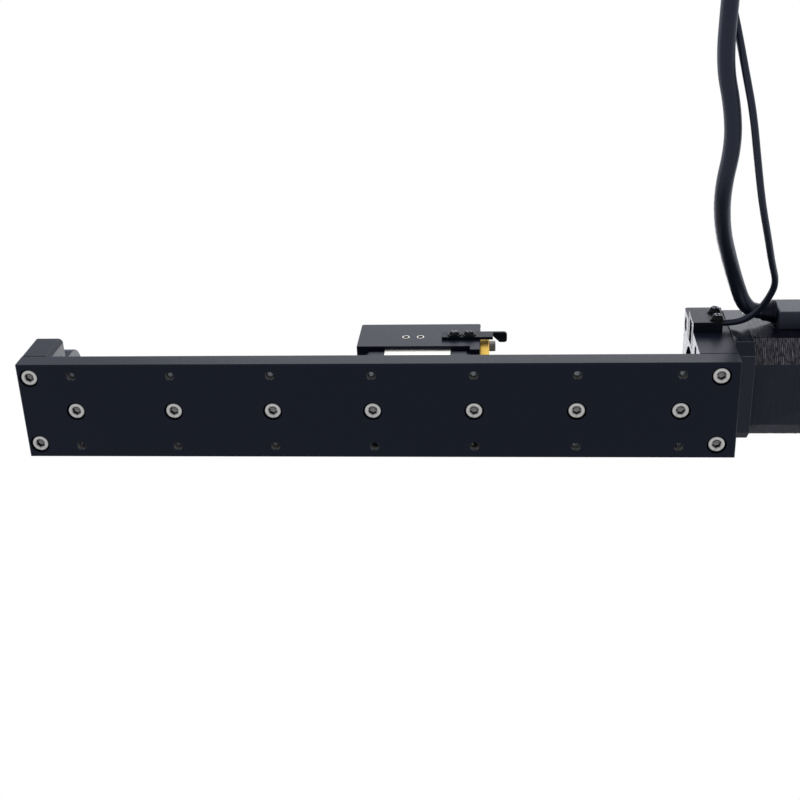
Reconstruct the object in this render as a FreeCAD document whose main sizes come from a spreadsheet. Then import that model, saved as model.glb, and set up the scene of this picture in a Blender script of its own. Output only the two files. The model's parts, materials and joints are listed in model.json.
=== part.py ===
import FreeCAD, Part
import math
import os
import re

import Sketcher
from FreeCAD import Placement, Rotation, Vector

# Lead screw linear actuator: a base plate with a profile rail, a carriage on a guide block, and a lead screw that a
# square stepper motor turns. X runs along the rail with the motor at +X, Z points up, and the origin is the middle of
# the plate's bottom face. All sizes are millimetres.

SIZES = {
    # base plate
    "plate_length": 284.0,
    "plate_width": 41.0,
    "plate_thickness": 9.0,
    "plate_chamfer": 0.4,
    "column_margin": 22.0,
    "column_count": 7,
    "side_hole_spacing": 31.0,
    "side_hole_diameter": 3.3,
    "side_hole_countersink": 0.25,
    "corner_screw_spacing": 29.4,
    "end_screw_inset": 4.8,
    "mount_screw_inset": 7.3,
    # socket screws of two sizes, and the small pan head screws of the sensor and its flag
    "plate_screw_diameter": 4.0,
    "plate_screw_head": 7.0,
    "plate_screw_head_height": 4.0,
    "plate_screw_bore": 4.5,
    "plate_screw_counterbore": 7.8,
    "plate_screw_recess": 1.1,
    "rail_screw_length": 10.0,
    "corner_screw_length": 12.0,
    "cap_screw_diameter": 3.0,
    "cap_screw_head": 5.5,
    "cap_screw_head_height": 3.0,
    "cap_screw_bore": 3.4,
    "cap_screw_counterbore": 6.0,
    "pan_screw_diameter": 2.5,
    "pan_screw_head": 4.8,
    "pan_screw_head_height": 1.4,
    "pan_screw_length": 8.0,
    "washer_diameter": 5.8,
    "washer_thickness": 0.5,
    "thread_play": 0.05,
    # rail and guide block
    "rail_width": 15.0,
    "rail_height": 10.0,
    "rail_end_gap": 0.5,
    "rail_top_chamfer": 0.6,
    "ball_line_height": 6.4,
    "rail_groove_depth": 1.55,
    "guide_ball_diameter": 2.4,
    "guide_ball_pitch": 5.6,
    "guide_ball_count": 4,
    "guide_width": 32.0,
    "guide_height": 12.0,
    "guide_ground_gap": 4.0,
    "guide_steel_length": 26.7,
    "guide_cap_length": 6.7,
    "guide_seal_length": 1.0,
    "guide_cap_inset": 0.4,
    "guide_cap_drop": 1.6,
    "guide_corner_chamfer": 1.5,
    "guide_side_play": 0.5,
    "guide_top_play": 0.8,
    "guide_screw_pitch_long": 20.0,
    "guide_screw_pitch_across": 25.0,
    "guide_screw_grip": 12.0,
    "guide_screw_depth": 4.0,
    # screw axis and lead screw
    "axis_above_plate": 26.5,
    "screw_diameter": 10.0,
    "journal_diameter": 8.0,
    "screw_end_margin": 0.8,
    "running_play": 0.1,
    # end block with its bearing
    "end_block_thickness": 11.0,
    "end_block_height": 18.4,
    "end_arch_radius": 11.0,
    "end_corner_radius": 2.0,
    "end_bearing_diameter": 16.0,
    "end_bearing_width": 5.0,
    "end_bearing_setback": 2.5,
    "ring_thickness": 1.0,
    "ring_groove_depth": 0.5,
    "ring_height": 1.6,
    "race_wall": 1.5,
    "shield_thickness": 0.4,
    "shield_setback": 0.3,
    # motor mount and home sensor
    "mount_thickness": 14.8,
    "mount_margin": 0.35,
    "mount_chamfer": 0.8,
    "pilot_diameter": 22.0,
    "pilot_depth": 2.0,
    "pilot_play": 0.1,
    "motor_screw_inset": 5.65,
    "motor_screw_length": 16.0,
    "counterbore_depth": 3.5,
    "sensor_length": 11.6,
    "sensor_height": 14.3,
    "sensor_low_edge": 20.9,
    "sensor_stand_out": 4.2,
    "sensor_fork_length": 5.6,
    "sensor_fork_reach": 7.3,
    "sensor_gap": 5.0,
    "sensor_pocket_play": 0.2,
    "sensor_screw_pitch": 8.0,
    "sensor_screw_inset": 1.9,
    "sensor_lead_inset": 1.5,
    # stepper motor
    "motor_width": 42.3,
    "motor_cap_chamfer": 4.4,
    "motor_stack_chamfer": 8.0,
    "motor_front_length": 7.6,
    "motor_stack_length": 22.4,
    "motor_rear_length": 10.0,
    "motor_bearing_diameter": 19.0,
    "motor_bearing_width": 6.0,
    "motor_shaft_hole": 11.0,
    "rotor_diameter": 26.0,
    "rotor_length": 20.0,
    "air_gap": 0.4,
    "pole_count": 8,
    "pole_width": 6.0,
    "pole_depth": 4.2,
    "coil_wall": 1.5,
    "coil_play": 0.15,
    "coil_depth": 2.6,
    "coil_room_diameter": 36.0,
    "tie_screw_depth": 2.4,
    "tie_screw_seat": 3.6,
    "terminal_box_start": 18.5,
    "terminal_box_length": 17.0,
    "terminal_box_height": 14.7,
    "terminal_box_drop": 4.8,
    "terminal_box_depth": 7.5,
    "terminal_box_fillet": 1.0,
    "gland_diameter": 9.6,
    "gland_side_gap": 0.1,
    "gland_flange_length": 1.6,
    "gland_collar_diameter": 8.6,
    "gland_collar_length": 0.6,
    "gland_boot_diameter": 7.8,
    "gland_boot_tip": 7.0,
    "gland_boot_length": 3.4,
    "gland_play": 0.05,
    # carriage
    "carriage_rest": 16.9,
    "carriage_length": 50.0,
    "carriage_width": 34.4,
    "carriage_height": 23.3,
    "carriage_fillet": 1.0,
    "carriage_lip_gap": 0.05,
    "carriage_lip_drop": 3.5,
    "carriage_hole_end_inset": 5.0,
    "carriage_hole_side_inset": 4.7,
    "carriage_hole_depth": 8.0,
    "side_pair_pitch": 6.0,
    "side_pair_first": -2.5,
    "side_pair_second": -7.5,
    "side_tap_diameter": 2.5,
    "side_tap_depth": 7.5,
    "side_tap_height": 9.4,
    "side_tap_countersink": 0.45,
    # lead nut and sensor flag
    "nut_flange_diameter": 31.0,
    "nut_flange_thickness": 3.6,
    "nut_flat_width": 24.0,
    "nut_body_diameter": 16.0,
    "nut_body_length": 22.0,
    "nut_bolt_circle": 25.0,
    "nut_screw_diameter": 2.5,
    "nut_screw_head": 4.5,
    "nut_screw_head_height": 2.6,
    "nut_screw_length": 10.0,
    "flag_thickness": 1.2,
    "flag_height": 6.0,
    "flag_back": 15.6,
    "flag_front": 5.3,
    "flag_lip_length": 4.0,
    "flag_tab_length": 5.7,
    "flag_tab_width": 4.4,
    "flag_tab_radius": 1.2,
    "flag_tab_cut": 2.6,
    # leads
    "motor_lead_diameter": 6.2,
    "sensor_lead_diameter": 2.7,
    "tie_thickness": 0.6,
    "tie_width": 4.0,
    "motor_coil_radius": 34.0,
    "motor_coil_rows": 2,
    "motor_coil_layers": 2,
    "sensor_coil_radius": 14.6,
    "sensor_coil_rows": 3,
    "sensor_coil_layers": 2,
    "motor_tail_length": 40.0,
    "sensor_tail_length": 20.0,
    "motor_plug_length": 24.0,
    "motor_plug_width": 16.0,
    "motor_plug_height": 9.0,
    "motor_plug_collar": 5.0,
    "motor_plug_mouth": 3.0,
    "sensor_plug_length": 14.0,
    "sensor_plug_width": 9.0,
    "sensor_plug_height": 5.5,
    "sensor_plug_collar": 3.0,
    "sensor_plug_mouth": 2.0,
    "plug_collar_step": 0.9,
    "plug_wall": 0.9,
}

# Places and sizes that follow from the cells above, by name.
DERIVED = {
    "plate_left": "-plate_length / 2",
    "column_pitch": "(plate_length - 2 * column_margin) / (column_count - 1)",
    "plate_right": "plate_length / 2",
    "axis_z": "plate_thickness + axis_above_plate",
    "end_face": "plate_left + end_block_thickness",
    "mount_face": "plate_right - mount_thickness",
    "mount_side": "-plate_width / 2",
    "mount_height": "axis_above_plate + motor_width / 2 + mount_margin",
    "rail_start": "end_face + rail_end_gap",
    "rail_length_free": "mount_face - end_face - 2 * rail_end_gap",
    "rail_top": "plate_thickness + rail_height",
    "ball_z": "plate_thickness + ball_line_height",
    "ball_y": "rail_width / 2 + guide_side_play / 2",
    "guide_bottom": "plate_thickness + guide_ground_gap",
    "guide_top": "guide_bottom + guide_height",
    "channel_half": "rail_width / 2 + guide_side_play",
    "channel_top": "rail_top + guide_top_play",
    "steel_start": "carriage_rest - guide_steel_length / 2",
    "steel_end": "carriage_rest + guide_steel_length / 2",
    "carriage_start": "carriage_rest - carriage_length / 2",
    "carriage_end": "carriage_rest + carriage_length / 2",
    "carriage_side": "-carriage_width / 2",
    "carriage_lip_start": "steel_end + guide_cap_length + guide_seal_length + carriage_lip_gap",
    "carriage_lip_length": "carriage_end - carriage_lip_start",
    "carriage_hole_pitch_long": "carriage_length - 2 * carriage_hole_end_inset",
    "carriage_hole_pitch_across": "carriage_width - 2 * carriage_hole_side_inset",
    "carriage_top": "guide_top + carriage_height",
    "side_tap_z": "guide_top + side_tap_height",
    "nut_face": "carriage_end + nut_flange_thickness",
    "flag_low": "side_tap_z - flag_height / 2",
    "flag_high": "side_tap_z + flag_height / 2",
    "flag_outside": "carriage_side - flag_thickness",
    "flag_tip": "flag_bend + flag_tab_length",
    "flag_bend": "carriage_end + flag_front",
    "bearing_face": "plate_left + end_bearing_setback",
    "bearing_back": "bearing_face + end_bearing_width",
    "screw_left": "plate_left + screw_end_margin",
    "front_bearing_face": "stack_start - motor_bearing_width",
    "rear_bearing_face": "stack_end",
    "stack_start": "plate_right + motor_front_length",
    "stack_end": "stack_start + motor_stack_length",
    "motor_end": "stack_end + motor_rear_length",
    "motor_side": "-motor_width / 2",
    "motor_screw_spacing": "motor_width - 2 * motor_screw_inset",
    "stator_bore": "rotor_diameter + 2 * air_gap",
    "slot_radius": "rotor_diameter / 2 + air_gap + pole_depth",
    "sensor_low": "plate_thickness + sensor_low_edge",
    "sensor_middle": "sensor_low + sensor_height / 2",
    "sensor_outside": "mount_side - sensor_stand_out",
    "sensor_screw_x": "mount_face + sensor_length - sensor_screw_inset",
    "box_start": "plate_right + terminal_box_start",
    "box_low": "axis_z - terminal_box_drop",
    "box_side": "motor_side - terminal_box_depth",
    "gland_y": "motor_side - gland_side_gap - gland_diameter / 2",
    "gland_z": "box_low + terminal_box_height / 2",
    "gland_collar_start": "box_start - gland_flange_length - gland_collar_length",
}

doc = FreeCAD.newDocument("linear_actuator")
sheet = doc.addObject("Spreadsheet::Sheet", "Sizes")
for row, (alias, number) in enumerate(SIZES.items(), start=1):
    sheet.set(f"A{row}", alias)
    sheet.set(f"B{row}", str(number))
    sheet.setAlias(f"B{row}", alias)
doc.recompute()

sub_parts = []
TURN_X = Rotation(Vector(0, 1, 0), 90)
TURN_Y = Rotation(Vector(1, 0, 0), -90)
AXES = {"x": TURN_X, "y": TURN_Y, "z": Rotation()}


def sized(text):
    """Turns a formula in plain names into an expression on the sheet's cells."""

    def word(match):
        name = match.group(0)
        if name in SIZES:
            return f"Sizes.{name}"
        if name in DERIVED:
            return f"({sized(DERIVED[name])})"
        return name

    return re.sub(r"[a-z_]+", word, str(text))


def value(text):
    """Gives a formula's present value in millimetres."""
    return float(sheet.evalExpression(sized(text)))


def bind(obj, **formulas):
    """Binds properties of an object to formulas, a double underscore standing for a dot."""
    for name, formula in formulas.items():
        obj.setExpression(name.replace("__", "."), sized(formula))


def place(obj, x, y, z, axis="z"):
    """Turns an object's +Z to an axis and binds its place."""
    obj.Placement = Placement(Vector(), AXES[axis])
    for letter, formula in zip("xyz", (x, y, z)):
        obj.setExpression(f".Placement.Base.{letter}", sized(formula))
    return obj


def keep(obj, name):
    """Lists an object as a finished sub-part under its file's name."""
    obj.Label = name
    sub_parts.append(obj)
    return obj


def block(x, y, z, length, width, height):
    """A box from its low corner."""
    obj = doc.addObject("Part::Box", "Block")
    bind(obj, Length=length, Width=width, Height=height)
    return place(obj, x, y, z)


def rod(axis, x, y, z, diameter, length):
    """A cylinder that starts at a point and runs along an axis."""
    obj = doc.addObject("Part::Cylinder", "Rod")
    bind(obj, Radius=f"({diameter}) / 2", Height=length)
    return place(obj, x, y, z, axis)


def ball(x, y, z, diameter):
    """A sphere about a point."""
    obj = doc.addObject("Part::Sphere", "Ball")
    bind(obj, Radius=f"({diameter}) / 2")
    return place(obj, x, y, z)


def fuse(*shapes):
    """Several objects as one solid."""
    obj = doc.addObject("Part::MultiFuse", "Fuse")
    obj.Shapes = list(shapes)
    return obj


def cut(base, *tools):
    """One object with the tools taken away."""
    obj = doc.addObject("Part::Cut", "Cut")
    obj.Base = base
    obj.Tool = tools[0] if len(tools) == 1 else fuse(*tools)
    return obj


def group(shapes):
    """Separate solids held in one node."""
    obj = doc.addObject("Part::Compound", "Group")
    obj.Links = list(shapes)
    return obj


def screw(axis, x, y, z, head, head_height, diameter, length, turned=False):
    """A screw whose head starts at a point, or with turned set, ends there, with its shank on the far side."""
    along = {"x": x, "y": y, "z": z}
    shank_at = dict(along)
    if turned:
        shank_at[axis] = f"{along[axis]} - ({head_height}) - ({length})"
        along[axis] = f"{along[axis]} - ({head_height})"
    else:
        shank_at[axis] = f"{along[axis]} + ({head_height})"
    cap = rod(axis, along["x"], along["y"], along["z"], head, head_height)
    shank = rod(axis, shank_at["x"], shank_at["y"], shank_at["z"], diameter, length)
    return fuse(cap, shank)


class Piece:
    """One sub-part made as a body of sketches, pads and pockets on its own origin planes."""

    NORMALS = {"XY": 1, "YZ": 1, "XZ": -1}

    def __init__(self, name):
        self.body = keep(doc.addObject("PartDesign::Body", "Body"), name)

    def sketch(self, plane, offset, outline=(), circles=()):
        """Draws a closed outline and circles whose points and radii are bound to the sheet."""
        drawing = self.body.newObject("Sketcher::SketchObject", "Sketch")
        support = [f for f in self.body.Origin.OriginFeatures if f.Role == f"{plane}_Plane"]
        drawing.AttachmentSupport = [(support[0], "")]
        drawing.MapMode = "FlatFace"
        sign = "-" if self.NORMALS[plane] < 0 else ""
        drawing.setExpression(".AttachmentOffset.Base.z", sized(f"{sign}({offset})"))
        self._outline(drawing, outline)
        for across, up, diameter in circles:
            middle = Vector(value(across), value(up), 0)
            edge = drawing.addGeometry(Part.Circle(middle, Vector(0, 0, 1), value(diameter) / 2), False)
            self._pin(drawing, edge, 3, across, up)
            radius = drawing.addConstraint(Sketcher.Constraint("Radius", edge, value(diameter) / 2))
            drawing.setExpression(f"Constraints[{radius}]", sized(f"({diameter}) / 2"))
        return drawing

    def _outline(self, drawing, outline):
        corners = [Vector(value(across), value(up), 0) for across, up in outline]
        count = len(corners)
        for i in range(count):
            drawing.addGeometry(Part.LineSegment(corners[i], corners[(i + 1) % count]), False)
        for i in range(count):
            drawing.addConstraint(Sketcher.Constraint("Coincident", i, 2, (i + 1) % count, 1))
        for i, (across, up) in enumerate(outline):
            self._pin(drawing, i, 1, across, up)

    @staticmethod
    def _pin(drawing, edge, point, across, up):
        for kind, formula in (("DistanceX", across), ("DistanceY", up)):
            rule = Sketcher.Constraint(kind, -1, 1, edge, point, value(formula))
            drawing.setExpression(f"Constraints[{drawing.addConstraint(rule)}]", sized(formula))

    def pad(self, plane, start, length, outline=(), circles=()):
        """Adds material from a start along the plane's normal."""
        feature = self.body.newObject("PartDesign::Pad", "Pad")
        feature.Profile = self.sketch(plane, start, outline, circles)
        feature.setExpression("Length", sized(length))
        return feature

    def pocket(self, plane, end, length, outline=(), circles=()):
        """Takes material away from an end back against the plane's normal."""
        feature = self.body.newObject("PartDesign::Pocket", "Pocket")
        feature.Profile = self.sketch(plane, end, outline, circles)
        feature.setExpression("Length", sized(length))
        return feature

    def revolve(self, profile, height, across="0"):
        """Turns an (x, radius) profile about an X line at a height above the origin and a place across it."""
        feature = self.body.newObject("PartDesign::Revolution", "Revolution")
        drawing = self.sketch("XZ", across, [(x, f"({height}) + ({radius})") for x, radius in profile])
        line = drawing.addGeometry(Part.LineSegment(Vector(0, value(height), 0), Vector(1, value(height), 0)), True)
        self._pin(drawing, line, 1, "0", height)
        self._pin(drawing, line, 2, "1", height)
        feature.Profile = drawing
        feature.ReferenceAxis = (drawing, ["Axis0"])
        feature.Angle = 360
        return feature

    def dress(self, kind, size, wanted):
        """Chamfers or fillets the edges of the last feature that a test picks by their box."""
        doc.recompute()
        base = self.body.Tip
        names = [f"Edge{i}" for i, e in enumerate(base.Shape.Edges, start=1) if wanted(e.BoundBox)]
        feature = self.body.newObject(f"PartDesign::{kind}", kind)
        feature.Base = (base, names)
        feature.setExpression("Size" if kind == "Chamfer" else "Radius", sized(size))
        return feature


def near(a, b):
    """Whether two lengths agree."""
    return abs(a - b) < 1e-4


def rectangle(low_across, low_up, high_across, high_up):
    """The four corners of a rectangle."""
    return [(low_across, low_up), (high_across, low_up), (high_across, high_up), (low_across, high_up)]


def bevelled_square(half, chamfer, middle):
    """An octagon: a square about (0, middle) with its corners cut."""
    flat = f"{half} - {chamfer}"
    corners = []
    for side_across, side_up in ((1, 1), (-1, 1), (-1, -1), (1, -1)):
        steep = (f"{side_across} * ({half})", f"{middle} + {side_up} * ({flat})")
        level = (f"{side_across} * ({flat})", f"{middle} + {side_up} * ({half})")
        corners += [steep, level] if side_across * side_up > 0 else [level, steep]
    return corners


def columns():
    """The X places of the plate's screw columns."""
    count = int(value("column_count"))
    return [f"{i - (count - 1) / 2} * column_pitch" for i in range(count)]


def corner_places():
    """The X and Y places of the four corner screws, the end block's first."""
    places = []
    for x in ("plate_left + end_screw_inset", "plate_right - mount_screw_inset"):
        places += [(x, f"{side} * corner_screw_spacing / 2") for side in (-1, 1)]
    return places


def motor_corners():
    """The Y and Z places of the motor's four screws."""
    return [(f"{a} * motor_screw_spacing / 2", f"axis_z + {b} * motor_screw_spacing / 2")
            for a in (-1, 1) for b in (-1, 1)]


def base_plate():
    """The flat plate with counterbored screw holes underneath and two rows of tapped holes."""
    piece = Piece("base_plate")
    outline = rectangle("plate_left", "-plate_width / 2", "plate_right", "plate_width / 2")
    piece.pad("XY", "0", "plate_thickness", outline)
    screws = [(x, "0") for x in columns()] + corner_places()
    taps = [(x, f"{side} * side_hole_spacing / 2", "side_hole_diameter") for x in columns() for side in (-1, 1)]
    bores = [(x, y, "plate_screw_bore") for x, y in screws]
    piece.pocket("XY", "plate_thickness", "plate_thickness", circles=taps + bores)
    seats = [(x, y, "plate_screw_counterbore") for x, y in screws]
    depth = "plate_screw_head_height + plate_screw_recess"
    piece.pocket("XY", depth, depth, circles=seats)
    edges = (value("plate_length"), value("plate_width"))

    def rim(box):
        level = near(box.ZLength, 0) and (near(box.ZMin, 0) or near(box.ZMin, value("plate_thickness")))
        return level and (near(box.XLength, edges[0]) or near(box.YLength, edges[1]))

    piece.dress("Chamfer", "plate_chamfer", rim)

    def hole_rim(box):
        below = near(box.ZMin, 0) and near(box.ZLength, 0)
        return below and near(box.XLength, value("side_hole_diameter"))

    piece.dress("Chamfer", "side_hole_countersink", hole_rim)


def plate_screws(name, places, length):
    """Socket screws let into the plate from below."""
    heads = ("plate_screw_head", "plate_screw_head_height", "plate_screw_diameter", length)
    keep(group([screw("z", x, y, "plate_screw_recess", *heads) for x, y in places]), name)


def linear_rail():
    """The profile rail with its two ball grooves and tapped holes underneath."""
    half = "rail_width / 2"
    profile = []
    for side in (1, -1):
        flank = [
            (half, "plate_thickness"),
            (half, "ball_z - rail_groove_depth"),
            (f"{half} - rail_groove_depth", "ball_z"),
            (half, "ball_z + rail_groove_depth"),
            (half, "rail_top - rail_top_chamfer"),
            (f"{half} - rail_top_chamfer", "rail_top"),
        ]
        points = [(f"{side} * ({across})", up) for across, up in flank]
        profile += points if side > 0 else points[::-1]
    piece = Piece("linear_rail")
    piece.pad("YZ", "rail_start", "rail_length_free", profile)
    reach = "plate_screw_head_height + plate_screw_recess + rail_screw_length + 1"
    taps = [(x, "0", "plate_screw_diameter + 2 * thread_play") for x in columns()]
    piece.pocket("XY", reach, f"{reach} - plate_thickness", circles=taps)


def end_block():
    """The far end's bearing block: a low foot as wide as the plate and a round arch about the screw."""
    piece = Piece("end_block")
    top = "plate_thickness + end_block_height"
    foot = rectangle("-plate_width / 2", "plate_thickness", "plate_width / 2", top)
    piece.pad("YZ", "plate_left", "end_block_thickness", foot)
    arch = [("0", "axis_z", "2 * end_arch_radius")]
    piece.pad("YZ", "plate_left", "end_block_thickness", circles=arch)
    neck = rectangle("-end_arch_radius", "plate_thickness", "end_arch_radius", "axis_z")
    piece.pad("YZ", "plate_left", "end_block_thickness", neck)
    seat = [("0", "axis_z", "end_bearing_diameter")]
    piece.pocket("YZ", "bearing_back", "bearing_back - plate_left", circles=seat)
    groove = [("0", "axis_z", "end_bearing_diameter + 2 * ring_groove_depth")]
    piece.pocket("YZ", "bearing_face", "ring_thickness", circles=groove)
    piece.pocket("YZ", "end_face", "end_block_thickness", circles=[("0", "axis_z", "screw_diameter + 1")])
    depth = "plate_screw_head_height + plate_screw_recess + corner_screw_length + 1"
    taps = [(x, y, "plate_screw_diameter + 2 * thread_play") for x, y in corner_places()[:2]]
    piece.pocket("XY", depth, f"{depth} - plate_thickness", circles=taps)
    low = value("plate_thickness")

    def inner_corner(box):
        upright = near(box.XLength, 0) and near(box.YLength, 0) and near(box.ZMin, low)
        return upright and near(box.XMin, value("end_face")) and near(abs(box.YMin), value("plate_width") / 2)

    piece.dress("Fillet", "end_corner_radius", inner_corner)


def bearing(prefix, start, width, outer):
    """A shielded ball bearing on a journal: the outer race with its two shields, and the inner race."""
    wall = f"(({outer}) / 2 - race_wall)"
    lip = "(journal_diameter / 2 + race_wall + running_play)"
    end = f"({start}) + ({width})"
    near_shield = f"({start}) + shield_setback"
    far_shield = f"{end} - shield_setback"
    profile = [
        (start, f"({outer}) / 2"),
        (start, wall),
        (near_shield, wall),
        (near_shield, lip),
        (f"{near_shield} + shield_thickness", lip),
        (f"{near_shield} + shield_thickness", wall),
        (f"{far_shield} - shield_thickness", wall),
        (f"{far_shield} - shield_thickness", lip),
        (far_shield, lip),
        (far_shield, wall),
        (end, wall),
        (end, f"({outer}) / 2"),
    ]
    Piece(f"{prefix}_outer_race").revolve(profile, "axis_z")
    tube = rod("x", start, "0", "axis_z", "journal_diameter + 2 * race_wall", width)
    bore = rod("x", start, "0", "axis_z", "journal_diameter + 2 * thread_play", width)
    keep(cut(tube, bore), f"{prefix}_inner_race")


def end_rings():
    """The ring that holds the bearing in the block, and the ring that holds the screw in the bearing."""
    start = "bearing_face - ring_thickness"
    outer = "end_bearing_diameter + 2 * ring_groove_depth"
    hole = rod("x", start, "0", "axis_z", f"{outer} - 2 * ring_height", "ring_thickness")
    keep(cut(rod("x", start, "0", "axis_z", outer, "ring_thickness"), hole), "bearing_retaining_ring")
    inner = "journal_diameter - 2 * ring_groove_depth"
    bore = rod("x", start, "0", "axis_z", inner, "ring_thickness")
    disc = rod("x", start, "0", "axis_z", f"{inner} + 2 * ring_height", "ring_thickness")
    keep(cut(disc, bore), "screw_retaining_ring")


def lead_screw():
    """The screw with its far end journal, thread and motor shaft in one turned bar."""
    neck = "journal_diameter / 2 - ring_groove_depth"
    journal = "journal_diameter / 2"
    thread = "screw_diameter / 2"
    rotor_gap = "(motor_stack_length - rotor_length) / 2"
    profile = [
        ("screw_left", "0"),
        ("screw_left", journal),
        ("bearing_face - ring_thickness", journal),
        ("bearing_face - ring_thickness", neck),
        ("bearing_face", neck),
        ("bearing_face", journal),
        ("bearing_back", journal),
        ("bearing_back", thread),
        ("front_bearing_face", thread),
        ("front_bearing_face", journal),
        ("motor_end - 2", journal),
        ("motor_end - 2", "0"),
    ]
    Piece("lead_screw").revolve(profile, "axis_z")
    start = f"stack_start + {rotor_gap}"
    core = rod("x", start, "0", "axis_z", "rotor_diameter", "rotor_length")
    bore = rod("x", start, "0", "axis_z", "journal_diameter + 2 * thread_play", "rotor_length")
    keep(cut(core, bore), "motor_rotor")


def motor_mount():
    """The upright plate that carries the motor, with the pocket for the home sensor on its side."""
    piece = Piece("motor_mount")
    top = "plate_thickness + mount_height"
    outline = rectangle("mount_side", "plate_thickness", "-(mount_side)", top)
    piece.pad("YZ", "mount_face", "mount_thickness", outline)
    corners = motor_corners()
    through = [("0", "axis_z", "pilot_diameter + 2 * pilot_play")]
    through += [(y, z, "cap_screw_bore") for y, z in corners]
    piece.pocket("YZ", "plate_right", "mount_thickness", circles=through)
    seats = [(y, z, "cap_screw_counterbore") for y, z in corners]
    piece.pocket("YZ", "mount_face + counterbore_depth", "counterbore_depth", circles=seats)
    depth = "plate_screw_head_height + plate_screw_recess + corner_screw_length + 1"
    taps = [(x, y, "plate_screw_diameter + 2 * thread_play") for x, y in corner_places()[2:]]
    piece.pocket("XY", depth, f"{depth} - plate_thickness", circles=taps)
    inner = "mount_side + sensor_fork_reach + sensor_pocket_play"
    fork = rectangle("mount_side", "sensor_low - sensor_pocket_play", inner,
                     "sensor_low + sensor_height + sensor_pocket_play")
    reach = "sensor_fork_length + sensor_pocket_play"
    piece.pocket("YZ", f"mount_face + {reach}", reach, fork)
    holes = [("sensor_screw_x", z, "pan_screw_diameter + 2 * thread_play") for z in sensor_screw_heights()]
    piece.pocket("XZ", "mount_side", "pan_screw_length - sensor_stand_out", circles=holes)

    def face_edge(box):
        return near(box.XMin, value("mount_face")) and near(box.XLength, 0) and near(box.ZMin, value(top)) \
            and near(box.ZLength, 0)

    piece.dress("Chamfer", "mount_chamfer", face_edge)


def sensor_screw_heights():
    """The Z places of the sensor's two screws."""
    return [f"sensor_middle + {side} * sensor_screw_pitch / 2" for side in (-1, 1)]


def home_sensor():
    """The forked light sensor that the flag enters, with its screws and washers."""
    slab = block("mount_face", "sensor_outside", "sensor_low", "sensor_length", "sensor_stand_out", "sensor_height")
    fork = block("mount_face", "mount_side", "sensor_low", "sensor_fork_length", "sensor_fork_reach", "sensor_height")
    gap = block("mount_face", "mount_side - sensor_stand_out / 2", "sensor_middle - sensor_gap / 2",
                "sensor_fork_length", "sensor_fork_reach + sensor_stand_out / 2", "sensor_gap")
    hole = "pan_screw_diameter + 2 * thread_play"
    holes = [rod("y", "sensor_screw_x", "sensor_outside", z, hole, "sensor_stand_out")
             for z in sensor_screw_heights()]
    keep(cut(fuse(slab, fork), gap, *holes), "sensor_body")
    pan_screws("sensor", [("sensor_screw_x", z) for z in sensor_screw_heights()], "sensor_outside")


def pan_screws(prefix, places, face):
    """Pan head screws with washers, driven in the +Y direction against a face."""
    rings = []
    screws = []
    for x, z in places:
        seat = f"{face} - washer_thickness"
        disc = rod("y", x, seat, z, "washer_diameter", "washer_thickness")
        hole = rod("y", x, seat, z, "pan_screw_diameter + 2 * thread_play", "washer_thickness")
        rings.append(cut(disc, hole))
        head = f"{seat} - pan_screw_head_height"
        screws.append(screw("y", x, head, z, "pan_screw_head", "pan_screw_head_height", "pan_screw_diameter",
                            "pan_screw_length"))
    keep(group(rings), f"{prefix}_washers")
    keep(group(screws), f"{prefix}_screws")


def motor():
    """The stepper motor: two end caps, the laminated stator with its coils, and the screws that hold it."""
    cap_outline = bevelled_square("motor_width / 2", "motor_cap_chamfer", "axis_z")
    corners = motor_corners()
    front = Piece("motor_front_cap")
    front.pad("YZ", "plate_right", "motor_front_length", cap_outline)
    front.pad("YZ", "plate_right - pilot_depth", "pilot_depth", circles=[("0", "axis_z", "pilot_diameter")])
    seat = [("0", "axis_z", "motor_bearing_diameter")]
    front.pocket("YZ", "stack_start", "motor_bearing_width", circles=seat)
    room = [("0", "axis_z", "coil_room_diameter")]
    front.pocket("YZ", "stack_start", "coil_wall + 2 * coil_play", circles=room)
    hole = [("0", "axis_z", "motor_shaft_hole")]
    front.pocket("YZ", "stack_start", "motor_front_length + pilot_depth", circles=hole)
    taps = [(y, z, "cap_screw_diameter + 2 * thread_play") for y, z in corners]
    front.pocket("YZ", "stack_start", "motor_front_length", circles=taps)

    stack_outline = bevelled_square("motor_width / 2", "motor_stack_chamfer", "axis_z")
    stator = Piece("motor_stator")
    stator.pad("YZ", "stack_start", "motor_stack_length", stack_outline)
    bores = [("0", "axis_z", "stator_bore")] + [(y, z, "cap_screw_bore") for y, z in corners]
    stator.pocket("YZ", "stack_end", "motor_stack_length", circles=bores)
    stator_slots(stator)

    rear = Piece("motor_rear_cap")
    rear.pad("YZ", "stack_end", "motor_rear_length", cap_outline)
    rear.pocket("YZ", "stack_end + motor_bearing_width", "motor_bearing_width", circles=seat)
    rear.pocket("YZ", "stack_end + coil_wall + 2 * coil_play", "coil_wall + 2 * coil_play", circles=room)
    rear.pocket("YZ", "motor_end", "motor_rear_length", circles=[("0", "axis_z", "journal_diameter + 2")])
    rear.pocket("YZ", "motor_end", "motor_rear_length", circles=[(y, z, "cap_screw_bore") for y, z in corners])
    seats = [(y, z, "cap_screw_counterbore") for y, z in corners]
    rear.pocket("YZ", "motor_end", "tie_screw_seat", circles=seats)

    heads = ("cap_screw_head", "cap_screw_head_height", "cap_screw_diameter")
    start = "mount_face + counterbore_depth - cap_screw_head_height"
    keep(group([screw("x", start, y, z, *heads, "motor_screw_length") for y, z in corners]), "motor_face_screws")
    end = "motor_end - tie_screw_seat + cap_screw_head_height"
    length = "motor_rear_length - tie_screw_seat + motor_stack_length + tie_screw_depth"
    keep(group([screw("x", end, y, z, *heads, length, turned=True) for y, z in corners]), "motor_tie_screws")


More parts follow.
